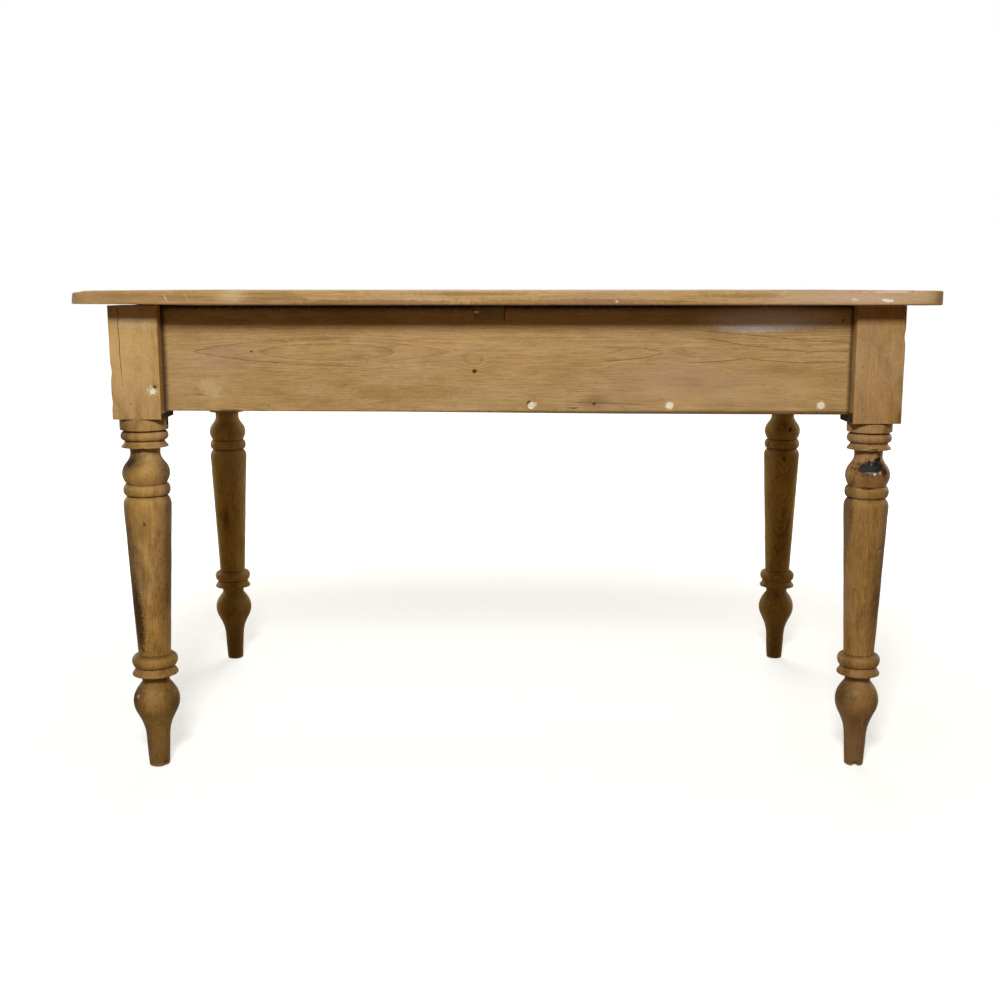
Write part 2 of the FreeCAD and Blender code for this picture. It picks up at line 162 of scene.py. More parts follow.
lamps = {name: lamp(name, *setting) for name, setting in LAMPS.items()}

# %% [markdown]
# The rest is the light of the room: weak, warm and from all around. The Light Path node tells rays apart. What the
# camera and reflections see of the surroundings is plain white, and all other rays bring the room's light.

# %% The light of the room
ROOM_LEVEL = 0.2
ROOM_TINT = "#FFE5A8"
WHITE = "#FFFFFF"


def seen_directly(tree):
    """One where the camera, a reflection or a view through glass sees a surface, and nought for other light."""
    direct = 0.0
    for ray in ("Is Camera Ray", "Is Glossy Ray", "Is Transmission Ray"):
        direct = add(tree, MATH, {0: add(tree, "ShaderNodeLightPath", take=ray), 1: direct}, operation="MAXIMUM")
    return direct


world = bpy.data.worlds.new("studio")
world.use_nodes = True
scene.world = world
sky = world.node_tree
background = sky.nodes["Background"]
level = add(sky, RANGE, {0: seen_directly(sky), 3: ROOM_LEVEL, 4: 1.0})
sky.links.new(level, background.inputs["Strength"])
tint = add(sky, MIX, {0: seen_directly(sky), 6: linear(ROOM_TINT), 7: linear(WHITE)}, data_type="RGBA")
sky.links.new(tint, background.inputs["Color"])
print("room light at", ROOM_LEVEL)

# %% [markdown]
# ## The floor
#
# The floor is a pale sheet. What the camera sees of it is lifted to white, more so away from the table, by light of
# its own that the Light Path node keeps from everything else, so that the shadow stays on it and the table isn't lit
# by it. The light that it throws back up at the table is warm and not strong. From below the floor is open, for a
# look at the underside.

# %% The floor
FLOOR_SIDE = 40
LIFT_NEAR, LIFT_FAR = 0.56, 1.0
LIFT_FROM, LIFT_FULL = 0.7, 1.9
WARM_BOUNCE = "#86694A"
SEEN_PAPER = "#E4E6E7"

bpy.ops.mesh.primitive_plane_add(size=FLOOR_SIDE)
floor = bpy.context.object
floor.name = "floor"
paper = bpy.data.materials.new("white_paper_sweep")  # uncoated paper is matt: it shows shade and mirrors nothing
paper.use_nodes = True
tree = paper.node_tree
tree.nodes.clear()
place = add(tree, "ShaderNodeTexCoord", take="Object")
away = add(tree, VECTOR, {0: place}, operation="LENGTH")
lift = add(tree, RANGE, {0: away, 1: LIFT_FROM, 2: LIFT_FULL, 3: LIFT_NEAR, 4: LIFT_FAR},
           interpolation_type="SMOOTHSTEP")
lift = add(tree, MATH, {0: lift, 1: seen_directly(tree)}, operation="MULTIPLY")
glow = add(tree, "ShaderNodeEmission", {"Color": linear(WHITE), "Strength": lift})
tone = add(tree, MIX, {0: seen_directly(tree), 6: linear(WARM_BOUNCE), 7: linear(SEEN_PAPER)}, data_type="RGBA")
sheet = add(tree, "ShaderNodeBsdfDiffuse", {"Color": tone})
both = add(tree, "ShaderNodeAddShader", {0: sheet, 1: glow})
from_below = add(tree, "ShaderNodeNewGeometry", take="Backfacing")
nothing = add(tree, "ShaderNodeBsdfTransparent")
open_below = add(tree, "ShaderNodeMixShader", {0: from_below, 1: both, 2: nothing})
add(tree, "ShaderNodeOutputMaterial", {0: open_below})
floor.data.materials.append(paper)
print("floor of", FLOOR_SIDE, "by", FLOOR_SIDE, "m")

# %% [markdown]
# ## Turned legs
#
# Each leg is one stick of pine. Its top is left square for the joints, and the rest was turned: collar, bead,
# flared ring, vase, bead, long taper, and the same again above a bulb and a thin foot. A turned shape is drawn
# best as the turner sees it, as an outline from top to bottom. We extrude one vertex along that outline and spin
# it. Corners get a small radius, because a sharp corner doesn't survive a century of feet and brooms.

# %% The outline of a leg, in millimetres
BLOCK_TOP = 738
BLOCK_BOTTOM = 563
RAIL_BOTTOM = 574
LEG_SQUARE = 75
SHAFT_FOOT = 187
TURNED_TOP = 600
CORNER_MM = 0.7
SMOOTH_BEND = math.radians(24)  # a smaller bend belongs to a curve and stays
CORNER_SHARE = 0.4  # of a short run, at most, goes into the round
LEG_STEPS = 80


def leg_outline():
    """Points (radius, height) from the middle of the top, down the side, to the middle of the foot."""
    points = [(0, TURNED_TOP), (36.5, TURNED_TOP)]

    def straight(radius, drop, steps=1):
        start, top = points[-1]
        points.extend((start + (radius - start) * i / steps, top - drop * i / steps) for i in range(1, steps + 1))

    def bead(widest, radius, drop, steps=14):
        start, top = points[-1]
        for i in range(1, steps + 1):
            turn = math.pi * i / steps
            base = start + (radius - start) * i / steps
            points.append((base + (widest - base) * math.sin(turn), top - drop * (1 - math.cos(turn)) / 2))

    def curve(radius, drop, first, second, steps=20):
        """An S that keeps its upright direction for shares of the drop at its two ends."""
        start, top = points[-1]
        for i in range(1, steps + 1):
            t = i / steps
            down = 3 * first * t * (1 - t) ** 2 + 3 * (1 - second) * t ** 2 * (1 - t) + t ** 3
            points.append((start + (radius - start) * t * t * (3 - 2 * t), top - drop * down))

    straight(36.5, TURNED_TOP - BLOCK_BOTTOM, 6)
    straight(36.3, 18.5, 8)
    straight(30.6, 2)
    bead(35.8, 30.0, 15)
    straight(31.2, 3.5, 2)
    straight(35.3, 4.5, 3)
    straight(35.2, 2.5)
    straight(23.4, 2, 3)
    straight(23, 7, 3)
    curve(36, 32.5, 0.4, 0.52)
    curve(30.4, 16, 0.45, 0.02, 10)
    bead(35.6, 30.2, 19)
    curve(36.25, 14, 0.02, 0.7, 10)
    straight(25.25, points[-1][1] - SHAFT_FOOT, 90)
    bead(35.3, 30.2, 20.5)
    straight(31.2, 4, 2)
    straight(35.3, 6, 4)
    straight(35.2, 3)
    straight(22, 2, 3)
    straight(21.5, 9.5, 4)
    curve(36, 32, 0.06, 0.55, 16)
    curve(18.25, 70, 0.33, 0.62, 26)
    straight(16, 38.5, 16)
    straight(14.5, 1.5)
    return points + [(0, 0)]


def softened(points, radius):
    """The outline with a small round in place of each corner."""
    rounded = [Vector(points[0])]
    for before, corner, after in zip(points, points[1:], points[2:]):
        before, corner, after = Vector(before), Vector(corner), Vector(after)
        back, forth = before - corner, after - corner
        if abs(math.pi - back.angle(forth)) < SMOOTH_BEND:
            rounded.append(corner)
            continue
        start = corner + back.normalized() * min(radius, back.length * CORNER_SHARE)
        end = corner + forth.normalized() * min(radius, forth.length * CORNER_SHARE)
        rounded += [start, (start + 2 * corner + end) / 4, end]
    return rounded + [Vector(points[-1])]


outline = [(x, 0, z) for x, z in softened(leg_outline(), CORNER_MM)]
print("outline of", len(outline), "points, widest", round(2 * max(x for x, _, _ in outline), 1), "mm")

# %% [markdown]
# A line is drawn as by hand: a plane shrunk to one vertex, and that vertex extruded from point to point. Spinning it
# once round the leg's axis gives the turned stick.

# %% Spin the outline
SAME_POINT_MM = 0.005


def draw_line(points):
    """A line through points in millimetres, extruded vertex by vertex, and left in edit mode."""
    bpy.ops.object.select_all(action="DESELECT")
    bpy.ops.mesh.primitive_plane_add(size=MM)
    bpy.ops.object.mode_set(mode="EDIT")
    bpy.ops.mesh.select_all(action="SELECT")
    bpy.ops.mesh.merge(type="CENTER")
    bpy.ops.transform.translate(value=Vector(points[0]) * MM)
    for start, end in zip(points, points[1:]):
        bpy.ops.mesh.extrude_region_move(TRANSFORM_OT_translate={"value": (Vector(end) - Vector(start)) * MM})
    bpy.ops.mesh.select_all(action="SELECT")
    return bpy.context.object


turned_stick = draw_line(outline)
bpy.ops.mesh.spin(steps=LEG_STEPS, angle=2 * math.pi, center=(0, 0, 0), axis=(0, 0, 1))
bpy.ops.mesh.select_all(action="SELECT")
bpy.ops.mesh.remove_doubles(threshold=SAME_POINT_MM * MM)
bpy.ops.mesh.normals_make_consistent(inside=False)
bpy.ops.object.mode_set(mode="OBJECT")
print("turned stick of", len(turned_stick.data.polygons), "faces")

# %% [markdown]
# ## Square blocks
#
# The square block is a cube with its upright arrises eased. It is cut across in many places, so that a knock can
# dent an arris later on. By hand we would click the edges that we want. In code they are selected by their place or
# direction, and since nearly every step needs that, it gets a function of its own.

# %% Selecting by place


def alone(piece):
    """Leave edit mode and make a piece the only one that is selected."""
    if bpy.context.mode != "OBJECT":
        bpy.ops.object.mode_set(mode="OBJECT")
    bpy.ops.object.select_all(action="DESELECT")
    piece.select_set(True)
    bpy.context.view_layer.objects.active = piece


def pick(piece, test, kind="VERT"):
    """In edit mode, select the vertices, edges or faces whose middle, in millimetres, passes a test."""
    alone(piece)
    bpy.ops.object.mode_set(mode="EDIT")
    bpy.ops.mesh.select_mode(type=kind)
    bpy.ops.mesh.select_all(action="DESELECT")
    bpy.ops.object.mode_set(mode="OBJECT")
    mesh = piece.data
    if kind == "VERT":
        for vertex in mesh.vertices:
            vertex.select = test(vertex.co / MM)
    elif kind == "EDGE":
        for edge in mesh.edges:
            first, last = (mesh.vertices[i].co / MM for i in edge.vertices)
            edge.select = test((first + last) / 2, last - first)
    else:
        for face in mesh.polygons:
            face.select = test(face.center / MM, face.normal)
    bpy.ops.object.mode_set(mode="EDIT")


# %% The square block
BLOCK_ARRIS_MM = 1.6
FOOT_ARRIS_MM = 0.5
HALF_BLOCK = LEG_SQUARE / 2
CUTS_ACROSS, CUTS_UP = 12, 30


def box_between(low, high):
    """A box from its lowest to its highest corner, in millimetres."""
    low, high = Vector(low) * MM, Vector(high) * MM
    bpy.ops.object.select_all(action="DESELECT")
    bpy.ops.mesh.primitive_cube_add(size=1, location=(low + high) / 2, scale=high - low)
    bpy.ops.object.transform_apply(location=True, rotation=True, scale=True)
    return bpy.context.object


def cut_grid(piece, axis, low, high, cuts):
    """Cut a piece across an axis (0, 1 or 2) into slices of equal length between two places in millimetres."""
    normal = Vector([float(i == axis) for i in range(3)])
    alone(piece)
    bpy.ops.object.mode_set(mode="EDIT")
    for i in range(1, cuts):
        bpy.ops.mesh.select_all(action="SELECT")
        bpy.ops.mesh.bisect(plane_co=normal * (low + (high - low) * i / cuts) * MM, plane_no=normal)
    bpy.ops.object.mode_set(mode="OBJECT")


leg_block = box_between((-HALF_BLOCK, -HALF_BLOCK, BLOCK_BOTTOM), (HALF_BLOCK, HALF_BLOCK, BLOCK_TOP))
pick(leg_block, lambda middle, run: abs(run.z) > 1, "EDGE")
bpy.ops.mesh.bevel(offset=BLOCK_ARRIS_MM * MM, segments=3, affect="EDGES")
pick(leg_block, lambda middle, normal: normal.z < -0.9, "FACE")
bpy.ops.mesh.bevel(offset=FOOT_ARRIS_MM * MM, segments=2, affect="EDGES")
for axis in (0, 1):
    cut_grid(leg_block, axis, -HALF_BLOCK, HALF_BLOCK, CUTS_ACROSS)
cut_grid(leg_block, 2, BLOCK_BOTTOM, BLOCK_TOP, CUTS_UP)
print("block of", len(leg_block.data.polygons), "faces")

# %% [markdown]
# ## Four legs
#
# No two legs came off the lathe alike. The left front one is a little stouter than the drawing, the right front
# one slimmer, and their shoulders sit at different heights. Each leg is a copy with such changes, joined to its
# own block. The mortises for the two rails' tenons are cut into the two inner faces, and then the leg is turned to
# its corner and worn. The wear pushes the surface in by a slow noise, never out, and so stays inside the frame's box.

# %% Copying, joining and wearing


def copy_of(mesh, name):
    """A new object with a mesh of its own."""
    piece = bpy.data.objects.new(name, mesh.copy())
    scene.collection.objects.link(piece)
    piece.data.name = name
    piece.data.materials.clear()
    return piece


def combine(piece, tool, operation):
    """Join another piece to this one or cut it away, and throw the other one out."""
    alone(piece)
    change = piece.modifiers.new("combine", "BOOLEAN")
    change.operation = operation
    change.solver = "EXACT"
    change.object = tool
    bpy.ops.object.modifier_apply(modifier=change.name)
    bpy.data.objects.remove(tool)


def wear_in(piece, depth_mm, size_mm):
    """Push the surface in by a slow noise, as planing, drying and rubbing leave it."""
    alone(piece)
    noise = bpy.data.textures.new(piece.name + "_wear", "CLOUDS")
    noise.noise_scale = size_mm * MM
    change = piece.modifiers.new("wear", "DISPLACE")
    change.texture = noise
    change.texture_coords = "LOCAL"
    change.strength = depth_mm * MM
    change.mid_level = 1.0
    bpy.ops.object.modifier_apply(modifier=change.name)


# %% Four legs
MORTISES = [  # lowest and highest corner, about the axis of the left front leg
    ((-10, -11.7, 587.8), (40, -1.3, 706.2)),
    ((24, -11.7, 700), (40, -1.3, 745)),
    ((-11.7, -10, 587.8), (-1.3, 40, 706.2)),
    ((-11.7, 24, 700), (-1.3, 40, 745)),
]
LEG_X, LEG_Y = 564.5, 300.5
LEGS = {  # quarter turns, place, girth, how far the block's foot and the mouldings sit higher
    "leg_front_left": (0, (-LEG_X, -LEG_Y), 1.022, 2.4, 2.8),
    "leg_front_right": (1, (LEG_X, -LEG_Y), 0.958, -4.6, -1.0),
    "leg_back_right": (2, (LEG_X, LEG_Y), 0.985, 0.0, 0.6),
    "leg_back_left": (3, (-LEG_X, LEG_Y), 1.0, 1.0, -0.8),
}
UPPER_RINGS_FROM = SHAFT_FOOT + 230
FOOT_OF_BLOCK = BLOCK_BOTTOM + 1.5
LEG_WEAR_MM, LEG_WEAR_SIZE_MM = 0.9, 34
legs = {}
for name, (quarters, (x, y), girth, foot_up, rings_up) in LEGS.items():
    leg = copy_of(turned_stick.data, name + "_worn")
    pick(leg, lambda co: co.z > UPPER_RINGS_FROM)
    bpy.ops.transform.translate(value=(0, 0, rings_up * MM))
    bpy.ops.mesh.select_all(action="SELECT")
    bpy.ops.transform.resize(value=(girth, girth, 1), center_override=(0, 0, 0))
    bpy.ops.object.mode_set(mode="OBJECT")
    block = copy_of(leg_block.data, name + "_block")
    pick(block, lambda co: co.z < FOOT_OF_BLOCK)
    bpy.ops.transform.translate(value=(0, 0, foot_up * MM))
    bpy.ops.object.mode_set(mode="OBJECT")
    combine(block, leg, "UNION")
    for corners in MORTISES:
        combine(block, box_between(*corners), "DIFFERENCE")
    block.name = name + "_worn"
    block.rotation_euler.z = quarters * math.pi / 2
    block.location = (x * MM, y * MM, 0)
    alone(block)
    bpy.ops.object.transform_apply(location=True, rotation=True, scale=True)
    wear_in(block, LEG_WEAR_MM, LEG_WEAR_SIZE_MM)
    legs[name] = block
    print(name, "joined to its block,", len(block.data.polygons), "faces")
for master in (turned_stick, leg_block):
    bpy.data.objects.remove(master)

# %% [markdown]
# A peg holds the front rail's tenon in the left front leg. It sits in a bored hole, which a cylinder cuts.

# %% A hole for the peg
PEG_PLACE = Vector((-538.5, -318, 609))
PEG_HOLE_RADIUS, PEG_HOLE_DEPTH = 5.4, 56
bpy.ops.mesh.primitive_cylinder_add(radius=PEG_HOLE_RADIUS * MM, depth=PEG_HOLE_DEPTH * MM, vertices=24,
                                    location=PEG_PLACE * MM, rotation=(math.radians(90), 0, 0))
combine(legs["leg_front_left"], bpy.context.object, "DIFFERENCE")
print("peg hole", 2 * PEG_HOLE_RADIUS, "mm wide")

# %% [markdown]
# The left front block has dried and split: a thin crack runs down from its top, a little off the straight. It is
# cut with a sliver that we move sideways step by step and that ends in a point.

# %% A drying crack
CRACK_PATH = [(-586.4, 742), (-586, 724), (-586.5, 704), (-585.6, 684), (-585.9, 664), (-585, 644), (-584, 618)]
CRACK_FACE, CRACK_DEPTH, CRACK_WIDTH = -338, 9, 1.1
CRACK_OVERRUN = 3
CRACK_TIP, TIP_LENGTH, TIP_SHARE = CRACK_PATH[-1], 7, 0.1
sliver = draw_line([(x, CRACK_FACE - CRACK_OVERRUN, z) for x, z in CRACK_PATH])
bpy.ops.mesh.extrude_region_move(TRANSFORM_OT_translate={"value": (0, (CRACK_DEPTH + CRACK_OVERRUN) * MM, 0)})
bpy.ops.object.mode_set(mode="OBJECT")
wall = sliver.modifiers.new("wall", "SOLIDIFY")
wall.thickness = CRACK_WIDTH * MM
wall.offset = 0
bpy.ops.object.modifier_apply(modifier=wall.name)
pick(sliver, lambda co: co.z < CRACK_TIP[1] + TIP_LENGTH)
bpy.ops.transform.resize(value=(TIP_SHARE, 1, 1), center_override=Vector((CRACK_TIP[0], 0, CRACK_TIP[1])) * MM)
bpy.ops.object.mode_set(mode="OBJECT")
combine(legs["leg_front_left"], sliver, "DIFFERENCE")
print("crack down to", CRACK_TIP[1], "mm above the floor")

# %% [markdown]
# Knocks come last. The right front leg has the worst of them: nicks in its upper ring, a gouge in the shaft and a
# splintered foot. A dent is a move with proportional editing, so that the wood around gives way softly.

# %% Knocks on the legs
KNOCKS = {  # where, how far and how wide, in millimetres
    "leg_front_left": [((-560, -335, 520), (0, 1.4, 0.6), 6), ((-585, -330, 170), (1, 1.2, 0), 8),
                       ((-548, -312, 3), (-2, 2, 2), 7), ((-527, -337.5, 700), (-1.2, 1.2, 0), 12),
                       ((-602, -337.5, 640), (1.5, 1.2, 0), 16), ((-602, -337.5, 590), (1.0, 1.0, 0), 10)],
    "leg_front_right": [((566, -336, 519), (0, 2.2, 1.2), 6), ((577, -333, 519), (-0.6, 1.8, 1.0), 5),
                        ((552, -333, 519), (0.4, 1.6, 0.8), 5), ((586, -325, 362), (-1.5, 1.6, 0), 4),
                        ((581, -328, 360), (-1.0, 1.7, 0), 4), ((563, -316, 1), (0, 2.5, 3.4), 8),
                        ((548, -327, 118), (1, 1.6, 0), 7),
                        ((527, -337.5, 640), (1.0, 1.0, 0), 14), ((602, -337.5, 690), (-1.2, 1.0, 0), 14)],
    "leg_back_right": [((600, 300, 190), (-1.8, 0, 0), 9), ((566, 335, 520), (0, -1.5, 0), 6),
                       ((602, 337.5, 620), (-1.5, -1.5, 0), 14)],
    "leg_back_left": [((-598, 300, 450), (1.6, 0, 0), 8), ((-566, 335, 185), (0, -1.8, 0), 8),
                      ((-602, 337.5, 680), (1.4, -1.4, 0), 12)],
}


def press(piece, spot, push, reach):
    """Knock a dent: the point nearest to a spot moves by a push and takes the surface around along, all in mm."""
    nearest = min((vertex.co / MM for vertex in piece.data.vertices), key=lambda co: (co - Vector(spot)).length)
    pick(piece, lambda co: (co - nearest).length < 0.001)
    bpy.ops.transform.translate(value=Vector(push) * MM, use_proportional_edit=True, proportional_size=reach * MM,
                                proportional_edit_falloff="SMOOTH", use_proportional_connected=True)
    bpy.ops.object.mode_set(mode="OBJECT")


for name, knocks in KNOCKS.items():
    for spot, push, reach in knocks:
        press(legs[name], spot, push, reach)
    print(name, len(knocks), "knocks")

# %% [markdown]
# Dirt and old wax gather in the grooves of a turning, and its rims are rubbed pale. Blender's dirty vertex colours
# tell for each corner of a face how far it lies in a hollow, and the finish reads that attribute. Round the joint of
# block and turning the measure is unsure, so flat faces there get an even value, and the inner faces below the rails
# a darker one, which paints the shade that falls there.

# %% Which parts lie in hollows
EVEN, INNER_SHADE = 0.5, 0.44
JOINT_FROM, JOINT_TO = BLOCK_BOTTOM - 8, BLOCK_BOTTOM + 20
for leg in legs.values():
    alone(leg)
    bpy.ops.geometry.color_attribute_add(name="hollows", domain="CORNER", data_type="FLOAT_COLOR", color=(1, 1, 1, 1))
    bpy.ops.paint.vertex_color_dirt(blur_strength=1.0, blur_iterations=1, clean_angle=math.pi, dirt_angle=0,
                                    normalize=False)
    hollows = leg.data.color_attributes["hollows"].data
    for face in leg.data.polygons:
        middle, normal = face.center / MM, face.normal
        if JOINT_FROM < middle.z < JOINT_TO and max(abs(normal.x), abs(normal.y)) > 0.99:
            # The inner faces below the rails get the darker value: painted shade
            inward = normal.x * middle.x < -0.9 * abs(middle.x) and middle.z < RAIL_BOTTOM
            tone = INNER_SHADE if inward else EVEN
            for corner in face.loop_indices:
                hollows[corner].color = (tone, tone, tone, 1)
    print(leg.name, "measured at", len(hollows), "corners")

# %% [markdown]
# ## Pine
#
# Pine shows its growth rings as soft bands that darken towards each winter and then stop sharply. If we think of
# the log, one recipe gives every face of a board: the rings are shells around the pith, so a face cut along them
# shows arches and long loops, an edge shows stripes, and an end shows arcs. The distance from the pith is worked
# out in Object coordinates, disturbed by a slow noise, and swells locally round the knots. A ramp then shades each
# year from spring to winter.

# %% Growth rings
AXES = {"X": Vector((1, 0, 0)), "Y": Vector((0, 1, 0)), "Z": Vector((0, 0, 1))}
ONES = Vector((1, 1, 1))
WANDER_SIZE_MM = 110
WANDER_PACE = 0.22  # along the log, as a share of the pace across it
SPRING, WINTER = 0.25, 0.93  # when in the year the ramp is palest and darkest
YEAR_RAMP = {0.78: 0.3, 1.0: 0.0}  # how dark it is at other times
UNEVEN_PACE = 0.31  # of the noise that makes some years wider, per year


def growth_rings(tree, place, own, along, pith, ring_mm, wander_mm, seasons, lean, swells):
    """The place as the rings see it, how far each year has gone to winter, and how near a knot is."""
    across = ONES - AXES[along]
    slow = add(tree, VECTOR, {0: own, 1: across + AXES[along] * WANDER_PACE}, operation="MULTIPLY")
    wander = add(tree, NOISE, {"Vector": slow, "Scale": 1 / (WANDER_SIZE_MM * MM), "Detail": 3.0, "Roughness": 0.45},
                 take="Color")
    shift = add(tree, VECTOR, {0: wander, 1: (0.5, 0.5, 0.5)}, operation="SUBTRACT")
    moved = add(tree, VECTOR, {0: shift, 1: ONES * wander_mm * 2 * MM, 2: place}, operation="MULTIPLY_ADD")
    from_pith = add(tree, VECTOR, {0: moved, 1: Vector(pith) * MM}, operation="SUBTRACT")
    flat = add(tree, VECTOR, {0: from_pith, 1: across}, operation="MULTIPLY")
    up_log = add(tree, VECTOR, {0: from_pith, 1: AXES[along]}, operation="DOT_PRODUCT")
    drift = add(tree, VECTOR, {0: lean, "Scale": up_log}, operation="SCALE")
    flat = add(tree, VECTOR, {0: flat, 1: drift}, operation="ADD")
    radius = add(tree, VECTOR, {0: flat}, operation="LENGTH")
    near_knot = None
    for spot, reach, height in swells:
        unit = add(tree, "ShaderNodeMapping", {"Vector": place, "Location": Vector(spot) * MM,
                                               "Scale": Vector(reach) * MM}, vector_type="TEXTURE")
        square = add(tree, VECTOR, {0: unit, 1: unit}, operation="DOT_PRODUCT")
        fall = add(tree, MATH, {0: square, 1: -1.0}, operation="MULTIPLY")
        bell = add(tree, MATH, {0: fall}, operation="EXPONENT")
        radius = add(tree, MATH, {0: bell, 1: height * MM, 2: radius}, operation="MULTIPLY_ADD")
        near_knot = add(tree, MATH, {0: bell, 1: near_knot or 0.0}, operation="MAXIMUM")
    years = add(tree, MATH, {0: radius, 1: 1 / (ring_mm * MM)}, operation="MULTIPLY")
    uneven = add(tree, NOISE, {"W": years, "Scale": UNEVEN_PACE, "Detail": 1.0}, noise_dimensions="1D")
    years = add(tree, MATH, {0: uneven, 1: seasons, 2: years}, operation="MULTIPLY_ADD")
    year = add(tree, MATH, {0: years}, operation="FRACT")
    late = add(tree, "ShaderNodeValToRGB", {0: year})
    stops = late.node.color_ramp.elements
    stops[0].position, stops[1].position = SPRING, WINTER
    for when, tone in YEAR_RAMP.items():
        stops.new(when).color = (tone, tone, tone, 1)
    return moved, late, near_knot


# %% [markdown]
# Finer patterns lie over the rings: fibres and streaks along the grain, short dashes, and the clouds and grit of a
# surface that has been handled. Each is a noise at a real size, and one that is drawn out along the grain has
# coordinates that run slower that way. Single fibres are too fine for the render, so ours are about a millimetre wide.

# %% Fibres and clouds
GRAIN = {  # size in mm, detail, roughness, pace along the grain, whether it follows the rings' wander
    "fibre": (1.1, 2.0, 0.5, 1 / 30, True),
    "streak": (6, 4.0, 0.6, 1 / 30, True),
    "haze": (120, 5.0, 0.6, 0.4, False),
    "cloud": (26, 5.0, 0.65, 0.4, False),
    "grit": (4.5, 4.0, 0.7, 1.0, False),
    "dash": (1.5, 3.0, 0.5, 1 / 7, False),
}


def grain_patterns(tree, moved, own, along):
    """The noises of the grain, by name."""
    across = ONES - AXES[along]
    made = {}
    for kind, (size_mm, detail, roughness, pace, wanders) in GRAIN.items():
        drawn = add(tree, VECTOR, {0: moved if wanders else own, 1: across + AXES[along] * pace}, operation="MULTIPLY")
        made[kind] = add(tree, NOISE, {"Vector": drawn, "Scale": 1 / (size_mm * MM), "Detail": detail,
                                       "Roughness": roughness})
    return made


# %% [markdown]
# The colour of the planed wood runs from a pale spring tone to a dark winter one. Rings don't show evenly: they fade
# in and out with the streaks and the haze, and stand closest round a knot.

# %% The planed wood


def planed_wood(tree, late, near_knot, grain, pale, dark, contrast):
    """The colour of the wood before any use, and its rings."""
    faded = add(tree, MATH, {0: grain["streak"], 1: grain["haze"]}, operation="ADD")
    shown = add(tree, RANGE, {0: faded, 1: 0.85, 2: 1.15, 3: contrast * 0.3, 4: contrast})
    ring = add(tree, MATH, {0: late, 1: shown}, operation="MULTIPLY")
    if near_knot:
        dense = add(tree, RANGE, {0: near_knot, 1: 0.0, 2: 0.5, 3: 0.5, 4: 1.25})
        ring = add(tree, MATH, {0: ring, 1: dense}, operation="MULTIPLY")
    colour = add(tree, MIX, {0: ring, 6: linear(pale), 7: linear(dark)}, data_type="RGBA")
    by_fibre = add(tree, RANGE, {0: grain["fibre"], 1: 0.3, 2: 0.62, 3: 0.76, 4: 1.08})
    by_streak = add(tree, RANGE, {0: grain["streak"], 1: 0.3, 2: 0.7, 3: 0.84, 4: 1.12})
    level = add(tree, MATH, {0: by_fibre, 1: by_streak}, operation="MULTIPLY")
    colour = add(tree, VECTOR, {0: colour, "Scale": level}, operation="SCALE")
    return colour, ring


# %% [markdown]
# A century of wax and hands lies over that. End grain drinks the wax and turns dark, sides that nobody sees stay
# raw, and there are clouds of patina, soot, pits, rubbed spots, and dirt in the hollows. Each is a layer: where a
# pattern runs from one value to another, a tone is laid on, up to some strength.

# %% Layers of use
PIT_SPACING_MM = 24
WAX_BROWN = "#5A3A16"
DIRT_AND_SHADE = "#2A1A0A"
SOIL = "#452C12"
BARE_WOOD = "#CDB48A"
RAW_WOOD = "#A98F6C"
FADED_WOOD = "#B5967A"


def layers_of_use(tree, along, own, grain, patina, blotch, soil, pits, end_grain, flecked, raw_side, hollows):
    """Amounts and tones of the layers from the lowest up, and the amount of dirt in the hollows."""
    facing = add(tree, "ShaderNodeNewGeometry", take="Normal")
    haze, cloud, dash = grain["haze"], grain["cloud"], grain["dash"]
    end = add(tree, VECTOR, {0: facing, 1: AXES[along]}, operation="DOT_PRODUCT")
    end = add(tree, MATH, {0: end}, operation="ABSOLUTE")
    laid = [  # pattern, where the layer starts and is full, strength, tone
        (end, 0.45, 0.95, end_grain, WAX_BROWN),
        (haze, 0.44, 0.7, patina, WAX_BROWN),
        (cloud, 0.5, 0.75, blotch, WAX_BROWN),
        (haze, 0.52, 0.34, 0.5, FADED_WOOD),
    ]
    if soil:
        sooty = add(tree, MATH, {0: dash, 1: 0.7, 2: cloud}, operation="MULTIPLY_ADD")
        laid.append((sooty, 0.86, 1.12, soil, SOIL))
    laid.append((cloud, 0.47, 0.27, 0.22, BARE_WOOD))
    laid.append((dash, 0.6, 0.75, 0.55 * flecked, BARE_WOOD))
    laid.append((dash, 0.4, 0.25, 0.5 * flecked, WAX_BROWN))
    if raw_side:
        hidden = add(tree, VECTOR, {0: facing, 1: raw_side}, operation="DOT_PRODUCT")
        laid.append((hidden, 0.6, 0.9, 0.6, RAW_WOOD))
    if pits:
        cell = add(tree, "ShaderNodeTexVoronoi", {"Vector": own, "Scale": 1 / (PIT_SPACING_MM * MM)})
        laid.append((cell, 0.07, 0.03, pits, DIRT_AND_SHADE))
    if hollows:
        curve = add(tree, "ShaderNodeAttribute", take="Fac", attribute_name="hollows")
        laid.append((curve, 0.525, 0.62, 0.45, BARE_WOOD))
        # Dark in the hollows; on the inner faces below the rails this layer is painted shade
        laid.append((curve, 0.493, 0.445, 0.88, DIRT_AND_SHADE))
    layers = [(add(tree, RANGE, {0: pattern, 1: start, 2: full, 4: strength}), tone)
              for pattern, start, full, strength, tone in laid]
    return layers, layers[-1][0] if hollows else 0.0


# %% [markdown]
# Stains, scratches, paint spots and some painted shade and highlights are written down one by one, in millimetres:
# where, how far they reach in the three directions, their tilt about the table's depth, their colour and strength.
# Each is an ellipsoid in space that colours the wood inside it. Small ones are crisp and ragged, large ones fade out
# softly, and very long ones are smooth.

# %% Stains and painted light
CRISP_MM, LONG_MM = 16, 300
CRISP, SOFT, SMOOTH = (1.7, 0.5), (0.6, 0.0), (0.35, 0.3)  # how ragged the rim is, and the share that is full


